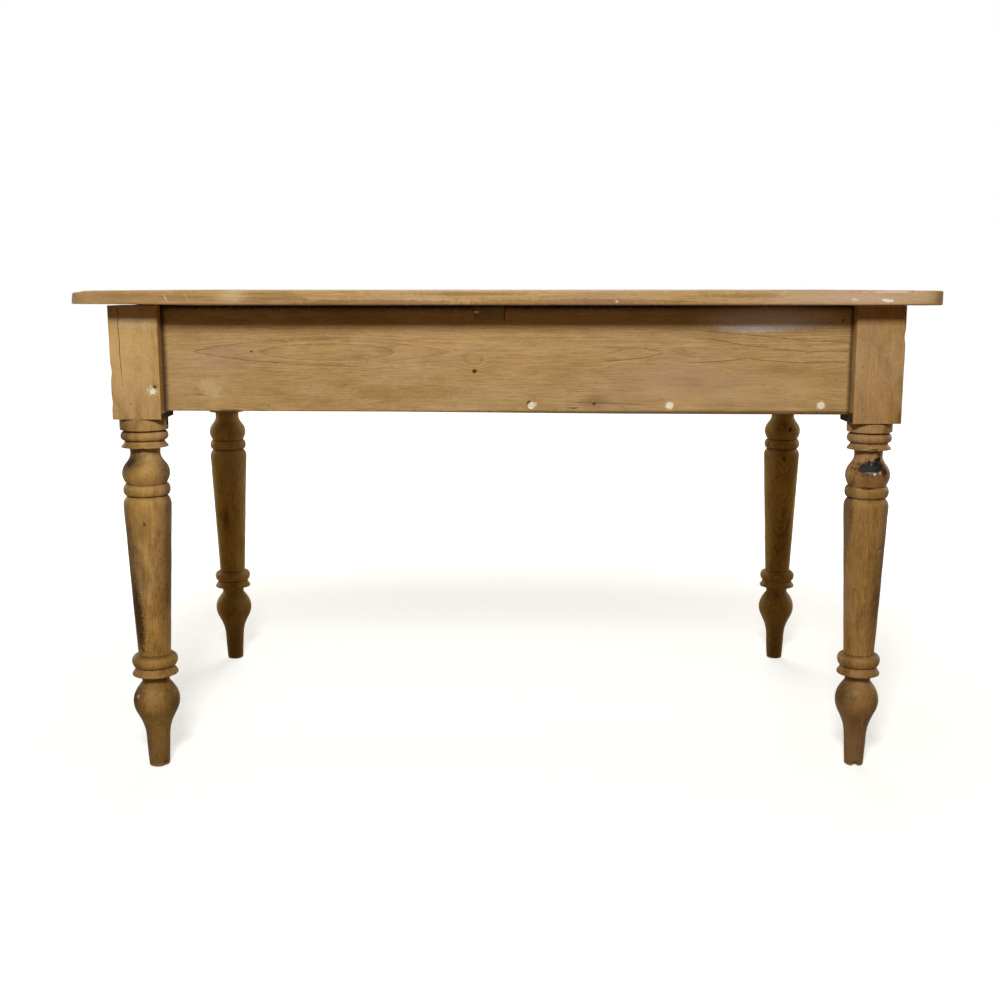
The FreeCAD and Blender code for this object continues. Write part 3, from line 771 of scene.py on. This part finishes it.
def stains_and_painted_light(tree, place, grit, marks):
    """The layers of the listed marks."""
    layers = []
    for spot, reach, tilt, mark_tone, strength in marks:
        unit = add(tree, "ShaderNodeMapping", {"Vector": place, "Location": Vector(spot) * MM,
                                               "Rotation": (0, math.radians(tilt), 0),
                                               "Scale": Vector(reach) * MM}, vector_type="TEXTURE")
        away = add(tree, VECTOR, {0: unit}, operation="LENGTH")
        ragged, core = CRISP if min(reach[0], reach[2]) < CRISP_MM else SOFT
        if max(reach) > LONG_MM:
            ragged, core = SMOOTH
        rim = add(tree, MATH, {0: grit, 1: ragged, 2: away}, operation="MULTIPLY_ADD")
        inside = add(tree, RANGE, {0: rim, 1: ragged / 2 + 1, 2: ragged / 2 + core, 4: strength},
                     interpolation_type="SMOOTHSTEP")
        layers.append((inside, mark_tone))
    return layers


# %% [markdown]
# The whole finish lays all that on one material. Dirt and the listed marks, painted light among them, are matt,
# clouds of wax a little glossier here and there, and rings and fibres stand out by a fraction of a millimetre.

# %% The whole finish
OWN_SHIFT = Vector((0.37, 0.73, 1.31))  # moves the noises, in metres for each seed, so that no two pieces match
RELIEF_MM = 0.5


def pine(name, along, pith, pale, dark, ring_mm=2.6, contrast=0.6, wander_mm=5.0, seasons=2.4, lean=(0, 0, 0),
         swells=(), marks=(), patina=0.2, blotch=0.3, soil=0.0, pits=0.0, end_grain=0.5, rough=0.5, shine=0.28,
         flecked=1.0, raw_side=None, hollows=False, seed=0.0):
    """Old waxed pine whose grain runs along an axis, with the pith of its log through a point in millimetres."""
    material = bpy.data.materials.new(name)
    material.use_nodes = True
    tree = material.node_tree
    place = add(tree, "ShaderNodeTexCoord", take="Object")
    own = add(tree, VECTOR, {0: place, 1: OWN_SHIFT * seed}, operation="ADD")
    moved, late, near_knot = growth_rings(tree, place, own, along, pith, ring_mm, wander_mm, seasons, lean, swells)
    grain = grain_patterns(tree, moved, own, along)
    colour, ring = planed_wood(tree, late, near_knot, grain, pale, dark, contrast)
    layers, dull = layers_of_use(tree, along, own, grain, patina, blotch, soil, pits, end_grain, flecked, raw_side,
                                 hollows)
    spots = stains_and_painted_light(tree, place, grain["grit"], marks)
    for amount, tone in layers + spots:
        colour = add(tree, MIX, {0: amount, 6: colour, 7: linear(tone)}, data_type="RGBA")
    for amount, _ in spots:
        dull = add(tree, MATH, {0: amount, 1: dull}, operation="MAXIMUM")

    shader = tree.nodes["Principled BSDF"]
    shader.inputs["Specular IOR Level"].default_value = shine
    tree.links.new(colour, shader.inputs["Base Color"])
    gloss = add(tree, RANGE, {0: grain["cloud"], 1: 0.3, 2: 0.7, 3: rough - 0.1, 4: rough + 0.12})
    matt = add(tree, MATH, {0: gloss, 1: dull}, operation="MAXIMUM")
    tree.links.new(matt, shader.inputs["Roughness"])
    height = add(tree, MATH, {0: ring, 1: 0.5, 2: grain["fibre"]}, operation="MULTIPLY_ADD")
    height = add(tree, MATH, {0: grain["cloud"], 1: 0.8, 2: height}, operation="MULTIPLY_ADD")
    bump = add(tree, "ShaderNodeBump", {"Height": height, "Strength": 0.3, "Distance": RELIEF_MM * MM})
    tree.links.new(bump, shader.inputs["Normal"])
    print(name, "with", len(layers), "layers and", len(spots), "marks")
    return material


# %% [markdown]
# ## The finish of the legs
#
# The legs are pine under many coats of wax, with a soft low sheen, dark in the grooves and pale on the rims. Each
# was cut from another place in the log, so each has its own pith and tones. The right front one has a dark
# scorched patch on its vase, with a painted sheen on it, and the legs are darker towards their feet. The dark marks
# down the sides of the front legs' turnings are painted shade, and the left front block carries painted light.

# %% Marks on the legs
# Painted shade: the colour of the dark marks that stand in for the shade at the sides of the round legs
PAINTED_SHADE = "#35210E"
LEG_MARKS = {  # place, reach, tilt, colour, strength
    "leg_front_left": [
        # Partly the block's paler tone and partly painted light, brighter towards the left
        ((-576, -LEG_Y, 660), (84, 84, 120), 0, "#DDBC80", 0.85),
        ((-588, -326, 499), (46, 40, 29), -25, "#262524", 1.0),
        # Painted shade at the left of the collar and bead
        ((-598, -322, 545), (30, 30, 36), 0, PAINTED_SHADE, 0.8),
        # Painted light: a paler, greyer patch in the shadow that the top casts on the block
        ((-LEG_X, -338, 726), (70, 20, 30), 0, "#D2C4AE", 0.45),
        # Painted shade down both sides of the turnings, from shaft to foot, where the round leg turns away from the
        # light
        ((-606, -322, 330), (50, 50, 290), -3, PAINTED_SHADE, 0.95),
        ((-584, -324, 250), (20, 30, 85), -3, PAINTED_SHADE, 0.7),
        ((-582, -324, 250), (14, 26, 70), -3, PAINTED_SHADE, 0.7),
        ((-566, -334, 395), (20, 16, 34), 0, PAINTED_SHADE, 0.3),
        ((-528, -312, 340), (26, 40, 250), 2, PAINTED_SHADE, 0.7),
        ((-526, -316, 490), (26, 36, 36), 0, PAINTED_SHADE, 0.6),
        ((-604, -322, 122), (46, 46, 56), 0, PAINTED_SHADE, 0.95),
        ((-530, -312, 110), (24, 36, 60), 0, PAINTED_SHADE, 0.6),
        ((-588, -316, 48), (26, 26, 64), 0, PAINTED_SHADE, 0.7),
        ((-538.5, -338, 609), (9.6, 6, 9), 20, "#EBDDBC", 0.9),
        ((-535, -338, 615.4), (4.6, 6, 3), 30, "#2A1B0C", 0.85),
        ((-561, -335, 403), (3, 6, 4), 0, "#3A250F", 0.7),
        ((-586, -325, 122), (4, 6, 4), 0, "#D9CBB0", 0.7),
    ],
    "leg_front_right": [
        ((LEG_X, -LEG_Y, 660), (80, 80, 110), 0, "#CFB27E", 0.5),
        # Painted shade down the sides of the turnings and on the bulb
        ((602, -314, 340), (38, 46, 260), 2, PAINTED_SHADE, 0.9),
        ((528, -312, 125), (34, 44, 48), 0, PAINTED_SHADE, 0.75),
        ((530, -310, 340), (8, 36, 200), 3, PAINTED_SHADE, 0.5),
        ((572, -328, 486), (36, 24, 22), 0, "#5B3E22", 0.7),
        ((564, -333, 476), (34, 24, 17), 0, "#6A4A36", 0.5),
        ((563, -331, 491), (34, 26, 15), -6, "#1B1D1F", 0.96),
        ((575, -328, 503), (13, 16, 8), -25, "#15101A", 0.95),
        ((582, -326, 483), (8, 14, 8), 0, "#2A1A14", 0.85),
        # Painted reflection: a dull bluish sheen and a small highlight on the scorched patch
        ((555, -333, 490), (20, 12, 11), 0, "#373B3D", 0.8),
        ((563, -334, 497), (3, 10, 8), 12, "#8E9AA4", 0.75),
        ((562, -335, 482), (16, 12, 2), 3, "#A89484", 0.55),
        ((566, -336, 480.4), (3.6, 8, 2.4), 0, "#EFE6D8", 0.85),
        ((575, -333, 482), (2.4, 8, 3.4), 0, "#D8CCA8", 0.6),
        ((550, -334, 458), (26, 12, 2.6), 0, "#1E1710", 0.85),
        ((566, -337, 519), (16, 9, 1.8), 0, "#3A2817", 0.8),
        ((562, -337, 521), (12, 9, 1.2), 0, "#CDBB98", 0.6),
        ((545, -329, 118), (13, 10, 5), 4, "#6E6353", 0.6),
        ((569, -322, 80), (3.4, 9, 20), 3, "#B59A6B", 0.7),
    ],
    "leg_back_right": [
        ((573, 267, 482), (5, 9, 6), 20, "#2E1C0C", 0.85),
        ((562, 266, 424), (5, 9, 9), -15, "#3A2410", 0.7),
    ],
    "leg_back_left": [((-566, 266, 300), (8, 9, 30), 0, "#4A2F12", 0.5)],
}
print("marks on the legs:", sum(len(marks) for marks in LEG_MARKS.values()))

# %% The finish of the legs
LEG_WOOD = {  # pith from the leg's axis, lean of the log, early and late wood
    "leg_front_left": ((26, 44, 0), (0, 0.01, 0), "#C39A55", "#8A622C"),
    "leg_front_right": ((-34, 40, 0), (0.01, 0, 0), "#AE854A", "#704D1E"),
    "leg_back_right": ((6, 62, 0), (0, -0.06, 0), "#CEA75A", "#6C4A20"),
    "leg_back_left": ((48, -12, 0), (0, 0.01, 0), "#CEA95A", "#7C5824"),
}
SMOOTH_UP_TO = math.radians(38)


def settle(piece, node, material):
    """Smooth a finished piece, give it its finish and let it stand for its node of the frame."""
    alone(piece)
    bpy.ops.object.shade_smooth_by_angle(angle=SMOOTH_UP_TO)
    piece.data.materials.clear()
    piece.data.materials.append(material)
    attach(piece, "root")
    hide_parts(node)
    print(piece.name, len(piece.data.polygons), "faces")


for i, (name, leg) in enumerate(legs.items()):
    x, y = LEGS[name][1]
    offset, lean, pale, dark = LEG_WOOD[name]
    # Darker towards the foot, and its end is rubbed bare
    low_down = [((x, y, 20), (90, 90, 210), 0, "#523310", 0.62), ((x, y, 0), (26, 26, 6), 0, "#C9AA78", 0.6)]
    # Waxed pine on a turning: a low sheen, faint stripes, dark grooves and pale rims
    wood = pine("waxed_pine_" + name, "Z", Vector((x, y, 300)) + Vector(offset), pale, dark, ring_mm=2.2,
                contrast=0.6 if "front" in name else 0.85, wander_mm=4, lean=lean, marks=LEG_MARKS[name] + low_down,
                patina=0.35, blotch=0.4, soil=0.5, pits=0.75, rough=0.5, shine=0.06, hollows=True, seed=i + 1)
    settle(leg, name, wood)

# %% [markdown]
# In the photo the back legs stand in the deep shade below the top. Light linking keeps a lamp off a piece, as a
# photographer's flag would do it: the key lamp off the back legs, and the side lamps off the floor, where they would
# wash the shadow out.

# %% Flags for the lamps
FLAGS = {
    "key_lamp": [legs["leg_back_left"], legs["leg_back_right"]],
    "side_lamp_left": [floor],
    "side_lamp_right": [floor],
}
for name, kept_dark in FLAGS.items():
    alone(lamps[name])
    for piece in kept_dark:
        piece.select_set(True)
    bpy.ops.object.light_linking_receivers_link(link_state="EXCLUDE")
    flagged = lamps[name].light_linking.receiver_collection.objects
    print(name, "leaves out", [piece.name for piece in flagged])

# %% [markdown]
# ## Boards and rails
#
# The boards and rails are sawn and planed, and the frame already has their joints, holes and rounded edges. So each
# is a copy of its node, merged into one skin and cut into a grid, which gives the wear something to move. The
# boards' arrises along the seams are eased a little, as a tongued and grooved top is.

# %% Copies of the frame's sawn pieces
SEAM_ARRIS_MM = 0.8
SKIN_GAP_MM = 0.001  # corners closer than this are one
ACROSS_SHARE = 0.8  # the grid is a little closer across the grain than along it


def worn_copy(name, along, step_mm, depth_mm, size_mm, eased=None):
    """A copy of a node, its chosen edges eased, cut into a grid along its length and across it, and worn."""
    piece = copy_of(NODES[name].data, name + "_worn")
    alone(piece)
    bpy.ops.mesh.customdata_custom_splitnormals_clear()
    bpy.ops.object.mode_set(mode="EDIT")
    bpy.ops.mesh.select_all(action="SELECT")
    bpy.ops.mesh.remove_doubles(threshold=SKIN_GAP_MM * MM)
    if eased:
        pick(piece, eased, "EDGE")
        bpy.ops.mesh.bevel(offset=SEAM_ARRIS_MM * MM, segments=2, affect="EDGES")
    bpy.ops.object.mode_set(mode="OBJECT")
    low, high = (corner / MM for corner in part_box(name))
    for axis in range(3):
        step = step_mm if "XYZ"[axis] == along else step_mm * ACROSS_SHARE
        cut_grid(piece, axis, low[axis], high[axis], int((high[axis] - low[axis]) / step))
    wear_in(piece, depth_mm, size_mm)
    return piece


def pith_of(name, offset):
    """The pith of the log that a node's piece was sawn from, given from the middle of the node, in millimetres."""
    low, high = (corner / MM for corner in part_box(name))
    return (low + high) / 2 + Vector(offset)


def bow(piece, kept, chosen, push, reach):
    """Move chosen points and, less and less over a reach, those around them, but only among the kept ones."""
    pick(piece, lambda co: not kept(co))
    bpy.ops.mesh.hide()
    pick(piece, lambda co: kept(co) and chosen(co))
    bpy.ops.transform.translate(value=Vector(push) * MM, use_proportional_edit=True, proportional_size=reach * MM,
                                proportional_edit_falloff="LINEAR")
    bpy.ops.mesh.reveal()
    bpy.ops.object.mode_set(mode="OBJECT")


# %% [markdown]
# The front edge of the top is what everyone bumps into. Its lower arris is painted dark as shade, its upper one
# rubbed pale, and in between are scratches and a few spots of white paint. The left end has lifted a little off its
# leg and its corner has worn round.

# %% The front edge of the top
EDGE_Y, EDGE_Z, TOP_Z = -386, 758.5, 760
EDGE_MARKS = [  # place, reach, tilt, colour, strength
    # Painted shade: the dark lower arris, where the edge turns down away from the light
    ((0, -387, 737), (1300, 9, 6), 0, "#3B2612", 0.7),
    ((-200, EDGE_Y, 743), (150, 6, 5), 0, "#7A5526", 0.5),
    ((110, EDGE_Y, 744), (210, 6, 5), 0, "#80592A", 0.5),
    ((-60, EDGE_Y, 755), (110, 6, 3), 0, "#8A6436", 0.5),
    ((350, EDGE_Y, 752), (70, 6, 4), 0, "#8A6436", 0.5),
    ((-330, EDGE_Y, 748), (50, 6, 4), 0, "#8F6A3A", 0.5),
    ((-570, EDGE_Y, 750), (130, 8, 18), 0, "#8A6B42", 0.5),
    ((520, EDGE_Y, 750), (200, 8, 18), 0, "#D2B79E", 0.6),
    ((0, -384, 760.5), (1300, 3, 2), 0, "#DCC79C", 0.6),
    ((-405, EDGE_Y, 753), (34, 8, 18), 0, "#E0CFA4", 0.45),
    ((-500.5, EDGE_Y, 748.5), (1.0, 6, 9), -28, "#E4D2AC", 0.9),
    ((-470, EDGE_Y, 750), (0.9, 6, 7), -30, "#DCC8A0", 0.35),
    ((-232, EDGE_Y, 751), (1.2, 6, 5), -10, "#DCC8A0", 0.35),
    ((160, EDGE_Y, 744), (3, 6, 2), 0, "#E4D2AC", 0.8),
    ((557, EDGE_Y, 745.5), (13, 5, 3), 8, "#F0ECE2", 0.95),
    ((509, EDGE_Y, 747), (8, 5, 2.2), 6, "#DDD2BE", 0.85),
    ((565, EDGE_Y, 758), (50, 5, 2), 0, "#DCCBAA", 0.8),
]
EDGE_KNOCKS = [(-611, 1.2, 9), (-560, 0.8, 14), (-430, 1.6, 8), (-338, 0.9, 16), (-214, 1.3, 7), (-120, 0.8, 20),
               (12, 1.5, 9), (96, 0.7, 15), (233, 1.2, 10), (318, 1.7, 7), (402, 0.9, 13), (534, 1.4, 9), (590, 1.9, 8)]
LEFT_CORNER = [(-648, -300, (0.5, 0, -0.8)), (-648, -320, (0.9, 0, -1.5)), (-648, -340, (1.2, 0, -2.2)),
               (-646, -358, (1.2, 0.3, -2.2)), (-639, -374, (0.9, 0.8, -2.2)), (-622, -385, (0, 0.8, -1.3))]
LEFT_END_LIFT, LIFTED_BELOW, LIFTED_FROM, LIFT_REACH = 2.0, 741, -590, 130
CORNER_REACH = 20


def wear_front_edge(board):
    """Lift the board's left end from below, knock its upper arris and round its left corner."""
    bow(board, lambda co: co.z < LIFTED_BELOW, lambda co: co.x < LIFTED_FROM, (0, 0, LEFT_END_LIFT), LIFT_REACH)
    for x, push, reach in EDGE_KNOCKS:
        press(board, (x, EDGE_Y, EDGE_Z), (0, push, -push), reach)
    for x, y, push in LEFT_CORNER:
        press(board, (x, y, TOP_Z), push, CORNER_REACH)
    print(board.name, len(EDGE_KNOCKS) + len(LEFT_CORNER), "knocks")


# %% [markdown]
# Five boards, each sawn from another log: the pith lies above or below it, and a few knots show. The finish is dry and
# matt, as a top is that was scrubbed every week.

# %% The top boards
BOARDS = [  # pith from the middle, lean of the log, early and late wood, knots (x, y, size)
    ((0, 10, -70), 0.022, "#C4A06A", "#84602F", [(-210, -330, 7)]),
    ((0, -25, 85), -0.03, "#BD965E", "#7F5A2B", [(330, -160, 9), (-480, -205, 6)]),
    ((0, 35, -95), 0.026, "#C59F69", "#886233", [(60, 22, 8), (520, -30, 5)]),
    ((0, -15, 75), 0.02, "#BB945D", "#7E5A2A", [(-300, 120, 10)]),
    ((0, 20, -80), -0.024, "#C19B63", "#836030", [(190, 330, 7), (-120, 290, 5)]),
]
KNOT_SWELL, KNOT_RISE = (4, 2.2, 3), 0.9  # reach of the bulge in the rings, and its height, in knots
KNOT_RINGS = ((2.2, "#7A5226", 0.55), (1.2, "#4A2C12", 0.75), (0.7, "#6B4420", 0.6))  # reach in knots, tone, strength
FINE_STEP_MM, COARSE_STEP_MM = 9, 26
SEAMS_WITHIN = 375
BOARD_WEAR_MM, BOARD_WEAR_SIZE_MM = 0.7, 90


def on_a_seam(middle, run):
    """Whether an edge is long, runs along the board and is the upper arris of a seam."""
    return abs(run.x) > 100 and abs(run.y) < 1 and middle.z > TOP_Z - 0.1 and abs(middle.y) < SEAMS_WITHIN


for i, (offset, lean, pale, dark, knots) in enumerate(BOARDS):
    name = f"top_board_{i + 1}"
    step = FINE_STEP_MM if i == 0 else COARSE_STEP_MM
    board = worn_copy(name, "X", step, BOARD_WEAR_MM, BOARD_WEAR_SIZE_MM, on_a_seam)
    if i == 0:
        wear_front_edge(board)
    swells = [((x, y, TOP_Z), [size * share for share in KNOT_SWELL], size * KNOT_RISE) for x, y, size in knots]
    marks = [((x, y, TOP_Z - 5), (size * reach, size * reach, 40), 0, tone, strength) for x, y, size in knots
             for reach, tone, strength in KNOT_RINGS]
    # Scrubbed pine: dry and matt, its arches and knots clear, its ends dark
    wood = pine("scrubbed_pine_" + name, "X", pith_of(name, offset), pale, dark, ring_mm=3.4, contrast=0.85,
                lean=(0, 0, lean), swells=swells, marks=marks + (EDGE_MARKS if i == 0 else []), patina=0.3,
                blotch=0.2, soil=0.14, pits=0.3, end_grain=0.7, rough=0.58, shine=0.08, raw_side=(0, 0, -1),
                seed=10 + i)
    settle(board, name, wood)

# %% [markdown]
# The front rail was cut close along the rings, so it shows loops and flames, and some of their dark lines are drawn
# in as chains of thin marks. It has a knot and scuffs. Pale marks near its right end are a painted reflection, the
# sheen of its wax, and dark bands along its top, its lower edge and its two ends are painted shade. Its lower edge
# isn't quite level, so it is bent down by a few millimetres to the right.

# %% Marks on the front rail
RAIL_FACE = -318


def on_rail(rows):
    """The rows of a table, which start with x and z, put on the face of the front rail."""
    return [((x, RAIL_FACE, z), *others) for x, z, *others in rows]


RAIL_SWELLS = on_rail([  # x, z, how far around the rings bulge, and by how much
    (-272, 667, (148, 60, 70), -5.0),
    (-50, 645, (26, 30, 14), -5),
    (210, 659, (60, 40, 14), 2.2),
    (420, 690, (120, 40, 18), 3.0),
])
RAIL_MARKS = on_rail([  # x, z, reach, tilt, colour, strength
    # Painted shade: a dark band along the top, in the shade under the top's overhang
    (0, 742, (3000, 8, 17), 0, "#0E0803", 1.0),
    # Painted shade down both ends, beside the leg blocks
    (-530, 650, (14, 8, 500), 0, "#2E1D0D", 0.9),
    (529, 650, (10, 8, 500), 0, "#2E1D0D", 0.8),
    # Painted reflection: the pale sheen of the wax near the right end
    (395, 716, (135, 8, 22), 0, "#EEF0FF", 0.85),
    (249.8, 585.5, (8, 6, 8.4), 0, "#EBDAB2", 0.9),
    (482.7, 585.5, (8.4, 6, 8), 0, "#E2D0A8", 0.85),
    (-455, 612, (26, 6, 15), 30, "#D3BE96", 0.35),
    (455, 610, (60, 6, 24), 0, "#C9AB76", 0.4),
    (-150, 604, (120, 6, 12), 0, "#8E6A38", 0.35),
    (250, 622, (200, 6, 40), 0, "#A5866A", 0.4),
    # Painted shade along the lower edge
    (0, 573, (3000, 8, 6), 0, "#3A2612", 0.7),
    (-50, 638, (4.5, 8, 4), 0, "#2E2011", 0.9),
    (-391, 668, (2.2, 6, 2.2), 0, "#2E1D0C", 0.9),
    (-367, 585, (1.6, 6, 1.6), 0, "#1E140A", 0.9),
    (136, 592, (36, 6, 18), 0, "#6A512C", 0.5),
    (152, 589, (80, 6, 1.3), 2, "#6A3C28", 0.5),
    (134, 588, (3.4, 6, 2.4), 0, "#2E1614", 0.8),
    (101, 581.5, (10, 6, 1.2), 0, "#33230C", 0.85),
    (103, 583.4, (5, 6, 0.8), 0, "#DCC796", 0.6),
    (41.5, 587.5, (5.5, 6, 4.6), 25, "#EBDAB2", 0.85),
    (33, 589.8, (4.6, 6, 3.6), -40, "#3A2410", 0.8),
    # More of the painted reflection: a paler patch and a broad grey haze over the shade
    (372, 708, (80, 8, 18), 0, "#CFC6C4", 0.5),
    (400, 724, (160, 8, 30), 0, "#B9A9A0", 0.35),
    (-4.4, 724, (1.2, 8, 16), 0, "#120A04", 0.9),
    (330, 600, (90, 6, 17), -3, "#CBB082", 0.35),
    (420, 640, (60, 6, 17), 2, "#8A683A", 0.35),
    (235, 606, (50, 6, 17), 0, "#C9AD7E", 0.35),
    (511, 715, (4, 6, 1.4), -50, "#120D08", 0.9),
    # Painted highlights: streaks of the same sheen along the grain
    (352, 713, (44, 6, 1.5), 1, "#D8D6DA", 0.5),
    (395, 709, (52, 6, 1.7), -1, "#E4E2E6", 0.55),
    (366, 704, (46, 6, 1.4), 0, "#DEDCDE", 0.5),
    (424, 715, (34, 6, 1.3), 1, "#D8D6DA", 0.45),
    (388, 699, (36, 6, 1.2), -1, "#DCD8D4", 0.4),
])
GRAIN_LINES = [  # dark lines that the rings draw, as points (x, z) along the rail
    [(-250, 688), (-330, 686), (-391, 682), (-440, 676), (-481, 668), (-440, 660), (-391, 654), (-330, 649),
     (-240, 646)],
    [(285, 688), (311, 687), (360, 678), (410, 672), (460, 667), (495, 669), (525, 668)],
    [(275, 650), (340, 654), (368, 657.5), (389, 654.7), (449, 650.5), (495, 652), (525, 651)],
    [(150, 654), (177, 655), (205, 658), (234, 664), (238, 668), (205, 673), (150, 675)],
    [(300, 699), (350, 695), (420, 688), (470, 684), (524, 682)],
]
LINE_REACH, LINE_TONE, LINE_STRENGTH = 0.75, "#65431F", 0.55  # the reach is a share of the step
for points in GRAIN_LINES:
    for (x0, z0), (x1, z1) in zip(points, points[1:]):
        reach = math.hypot(x1 - x0, z1 - z0) * LINE_REACH
        tilt = -math.degrees(math.atan2(z1 - z0, x1 - x0))
        RAIL_MARKS += on_rail([((x0 + x1) / 2, (z0 + z1) / 2, (reach, 6, 1.0), tilt, LINE_TONE, LINE_STRENGTH)])
print("marks on the front rail:", len(RAIL_MARKS))

# %% The rails
RAIL_SLOPE, SLOPE_FROM, SLOPE_REACH = 3.2, 515, 700
LOWER_EDGE_LEFT, LOWER_EDGE_RIGHT = 577, 577.5
RAIL_STEP_MM, FRONT_WEAR_MM, RAIL_WEAR_MM, RAIL_WEAR_SIZE_MM = 26, 0.2, 0.5, 120
RAILS = {  # grain, pith from the middle, lean of the log, side that stays raw
    "rail_front": ("X", (0, 33.9, 11), (0, 0, 0), (0, 1, 0)),
    "rail_back": ("X", (0, -75, -30), (0, 0.02, 0), (0, -1, 0)),
    "rail_left": ("Y", (70, 0, 24), (0.03, 0, 0), (1, 0, 0)),
    "rail_right": ("Y", (-64, 0, -20), (0.025, 0, 0), (-1, 0, 0)),
}
for i, (name, (along, offset, lean, raw_side)) in enumerate(RAILS.items()):
    front = name == "rail_front"
    rail = worn_copy(name, along, RAIL_STEP_MM, FRONT_WEAR_MM if front else RAIL_WEAR_MM, RAIL_WEAR_SIZE_MM)
    if front:
        bow(rail, lambda co: co.z < LOWER_EDGE_LEFT, lambda co: co.x < -SLOPE_FROM, (0, 0, RAIL_SLOPE), SLOPE_REACH)
        bow(rail, lambda co: co.z < LOWER_EDGE_RIGHT, lambda co: co.x > SLOPE_FROM, (0, 0, -RAIL_SLOPE), SLOPE_REACH)
    # Waxed pine on a flat rail: a dry sheen, long loops and a few pale dashes
    wood = pine("waxed_pine_" + name, along, pith_of(name, offset), "#BD9B66", "#866232",
                ring_mm=2.1, contrast=0.75, wander_mm=1.2 if front else 4, seasons=0.4 if front else 2.0, lean=lean,
                swells=RAIL_SWELLS if front else (), marks=RAIL_MARKS if front else (), patina=0.14, blotch=0.15,
                soil=0.12, rough=0.55, shine=0.08, flecked=0.95, raw_side=raw_side, seed=20 + i)
    settle(rail, name, wood)

# %% [markdown]
# The bearer and the glue blocks were never meant to be seen, so their pine was left without wax and has gone grey. Only
# the bearer's front end shows, in the edge of the front rail, with painted shade as a dark line above it and a spot of
# white paint.

# %% The bearer and the glue blocks
BEARER_MARKS = on_rail([
    # Painted shade: a dark band along the top, under the top's overhang
    (0, 742, (3000, 8, 14), 0, "#0E0803", 1.0),
    (-47, 727.5, (5, 8, 2.4), 0, "#F4F0E6", 0.95),
    (-28, 716.5, (30, 8, 1.2), 0, "#8C7C60", 0.6),
])
ACROSS_THE_TABLE = ("cross_bearer", "glue_block_left_1", "glue_block_right_1")
RAW_PITH = (30, 30, -40)
for i, name in enumerate(sorted(NODES)):
    if not name.startswith(("cross_bearer", "glue_block")):
        continue
    along = "Y" if name in ACROSS_THE_TABLE else "X"
    # Raw pine: grey and quite matt
    wood = pine("raw_pine_" + name, along, pith_of(name, RAW_PITH), "#AE9C7A", "#86704C", ring_mm=3.2, contrast=0.7,
                marks=BEARER_MARKS if name == "cross_bearer" else (), blotch=0.3, end_grain=0.1, rough=0.7, shine=0.1,
                seed=40 + i)
    settle(worn_copy(name, along, step_mm=20, depth_mm=0.4, size_mm=60), name, wood)

# %% [markdown]
# ## Pegs, plugs and screws
#
# The peg and the round plugs are later repairs in fresh wood, nearly white beside the old pine. They were whittled
# and driven in roughly, so copies of the frame's shapes get a rough wear that leaves dark gaps around them.

# %% Fresh wood
# Fresh birch: nearly white, fine and even, with no gloss
fresh = pine("fresh_birch", "X", (0, 0, 500), "#FBEFD2", "#E6D2A8", ring_mm=1.6, contrast=0.5, patina=0.0,
             blotch=0.05, end_grain=0.0, rough=0.6, flecked=0.3, seed=70)
settle(worn_copy("tenon_peg", "Y", step_mm=2.4, depth_mm=0.35, size_mm=4), "tenon_peg", fresh)
settle(worn_copy("rail_plugs", "X", step_mm=1.6, depth_mm=0.5, size_mm=3), "rail_plugs", fresh)

# %% [markdown]
# The screws are plain steel gone dull under a film of rust and wax. Their shapes in the frame are right, so they only
# get a finish.

# %% Dull steel
FILM_MM = 3
steel = bpy.data.materials.new("dull_steel")  # old steel: a grey metal with brown, blurred patches
steel.use_nodes = True
tree = steel.node_tree
shader = tree.nodes["Principled BSDF"]
place = add(tree, "ShaderNodeTexCoord", take="Object")
film = add(tree, NOISE, {"Vector": place, "Scale": 1 / (FILM_MM * MM), "Detail": 4.0})
tone = add(tree, MIX, {0: film, 6: linear("#8C8780"), 7: linear("#5B4A3A")}, data_type="RGBA")
tree.links.new(tone, shader.inputs["Base Color"])
blur = add(tree, RANGE, {0: film, 3: 0.35, 4: 0.7})
tree.links.new(blur, shader.inputs["Roughness"])
shader.inputs["Metallic"].default_value = 1.0
for name in ("bearer_screws", "pocket_screws"):
    NODES[name].data.materials.clear()
    NODES[name].data.materials.append(steel)
    print(name, "in", steel.name)
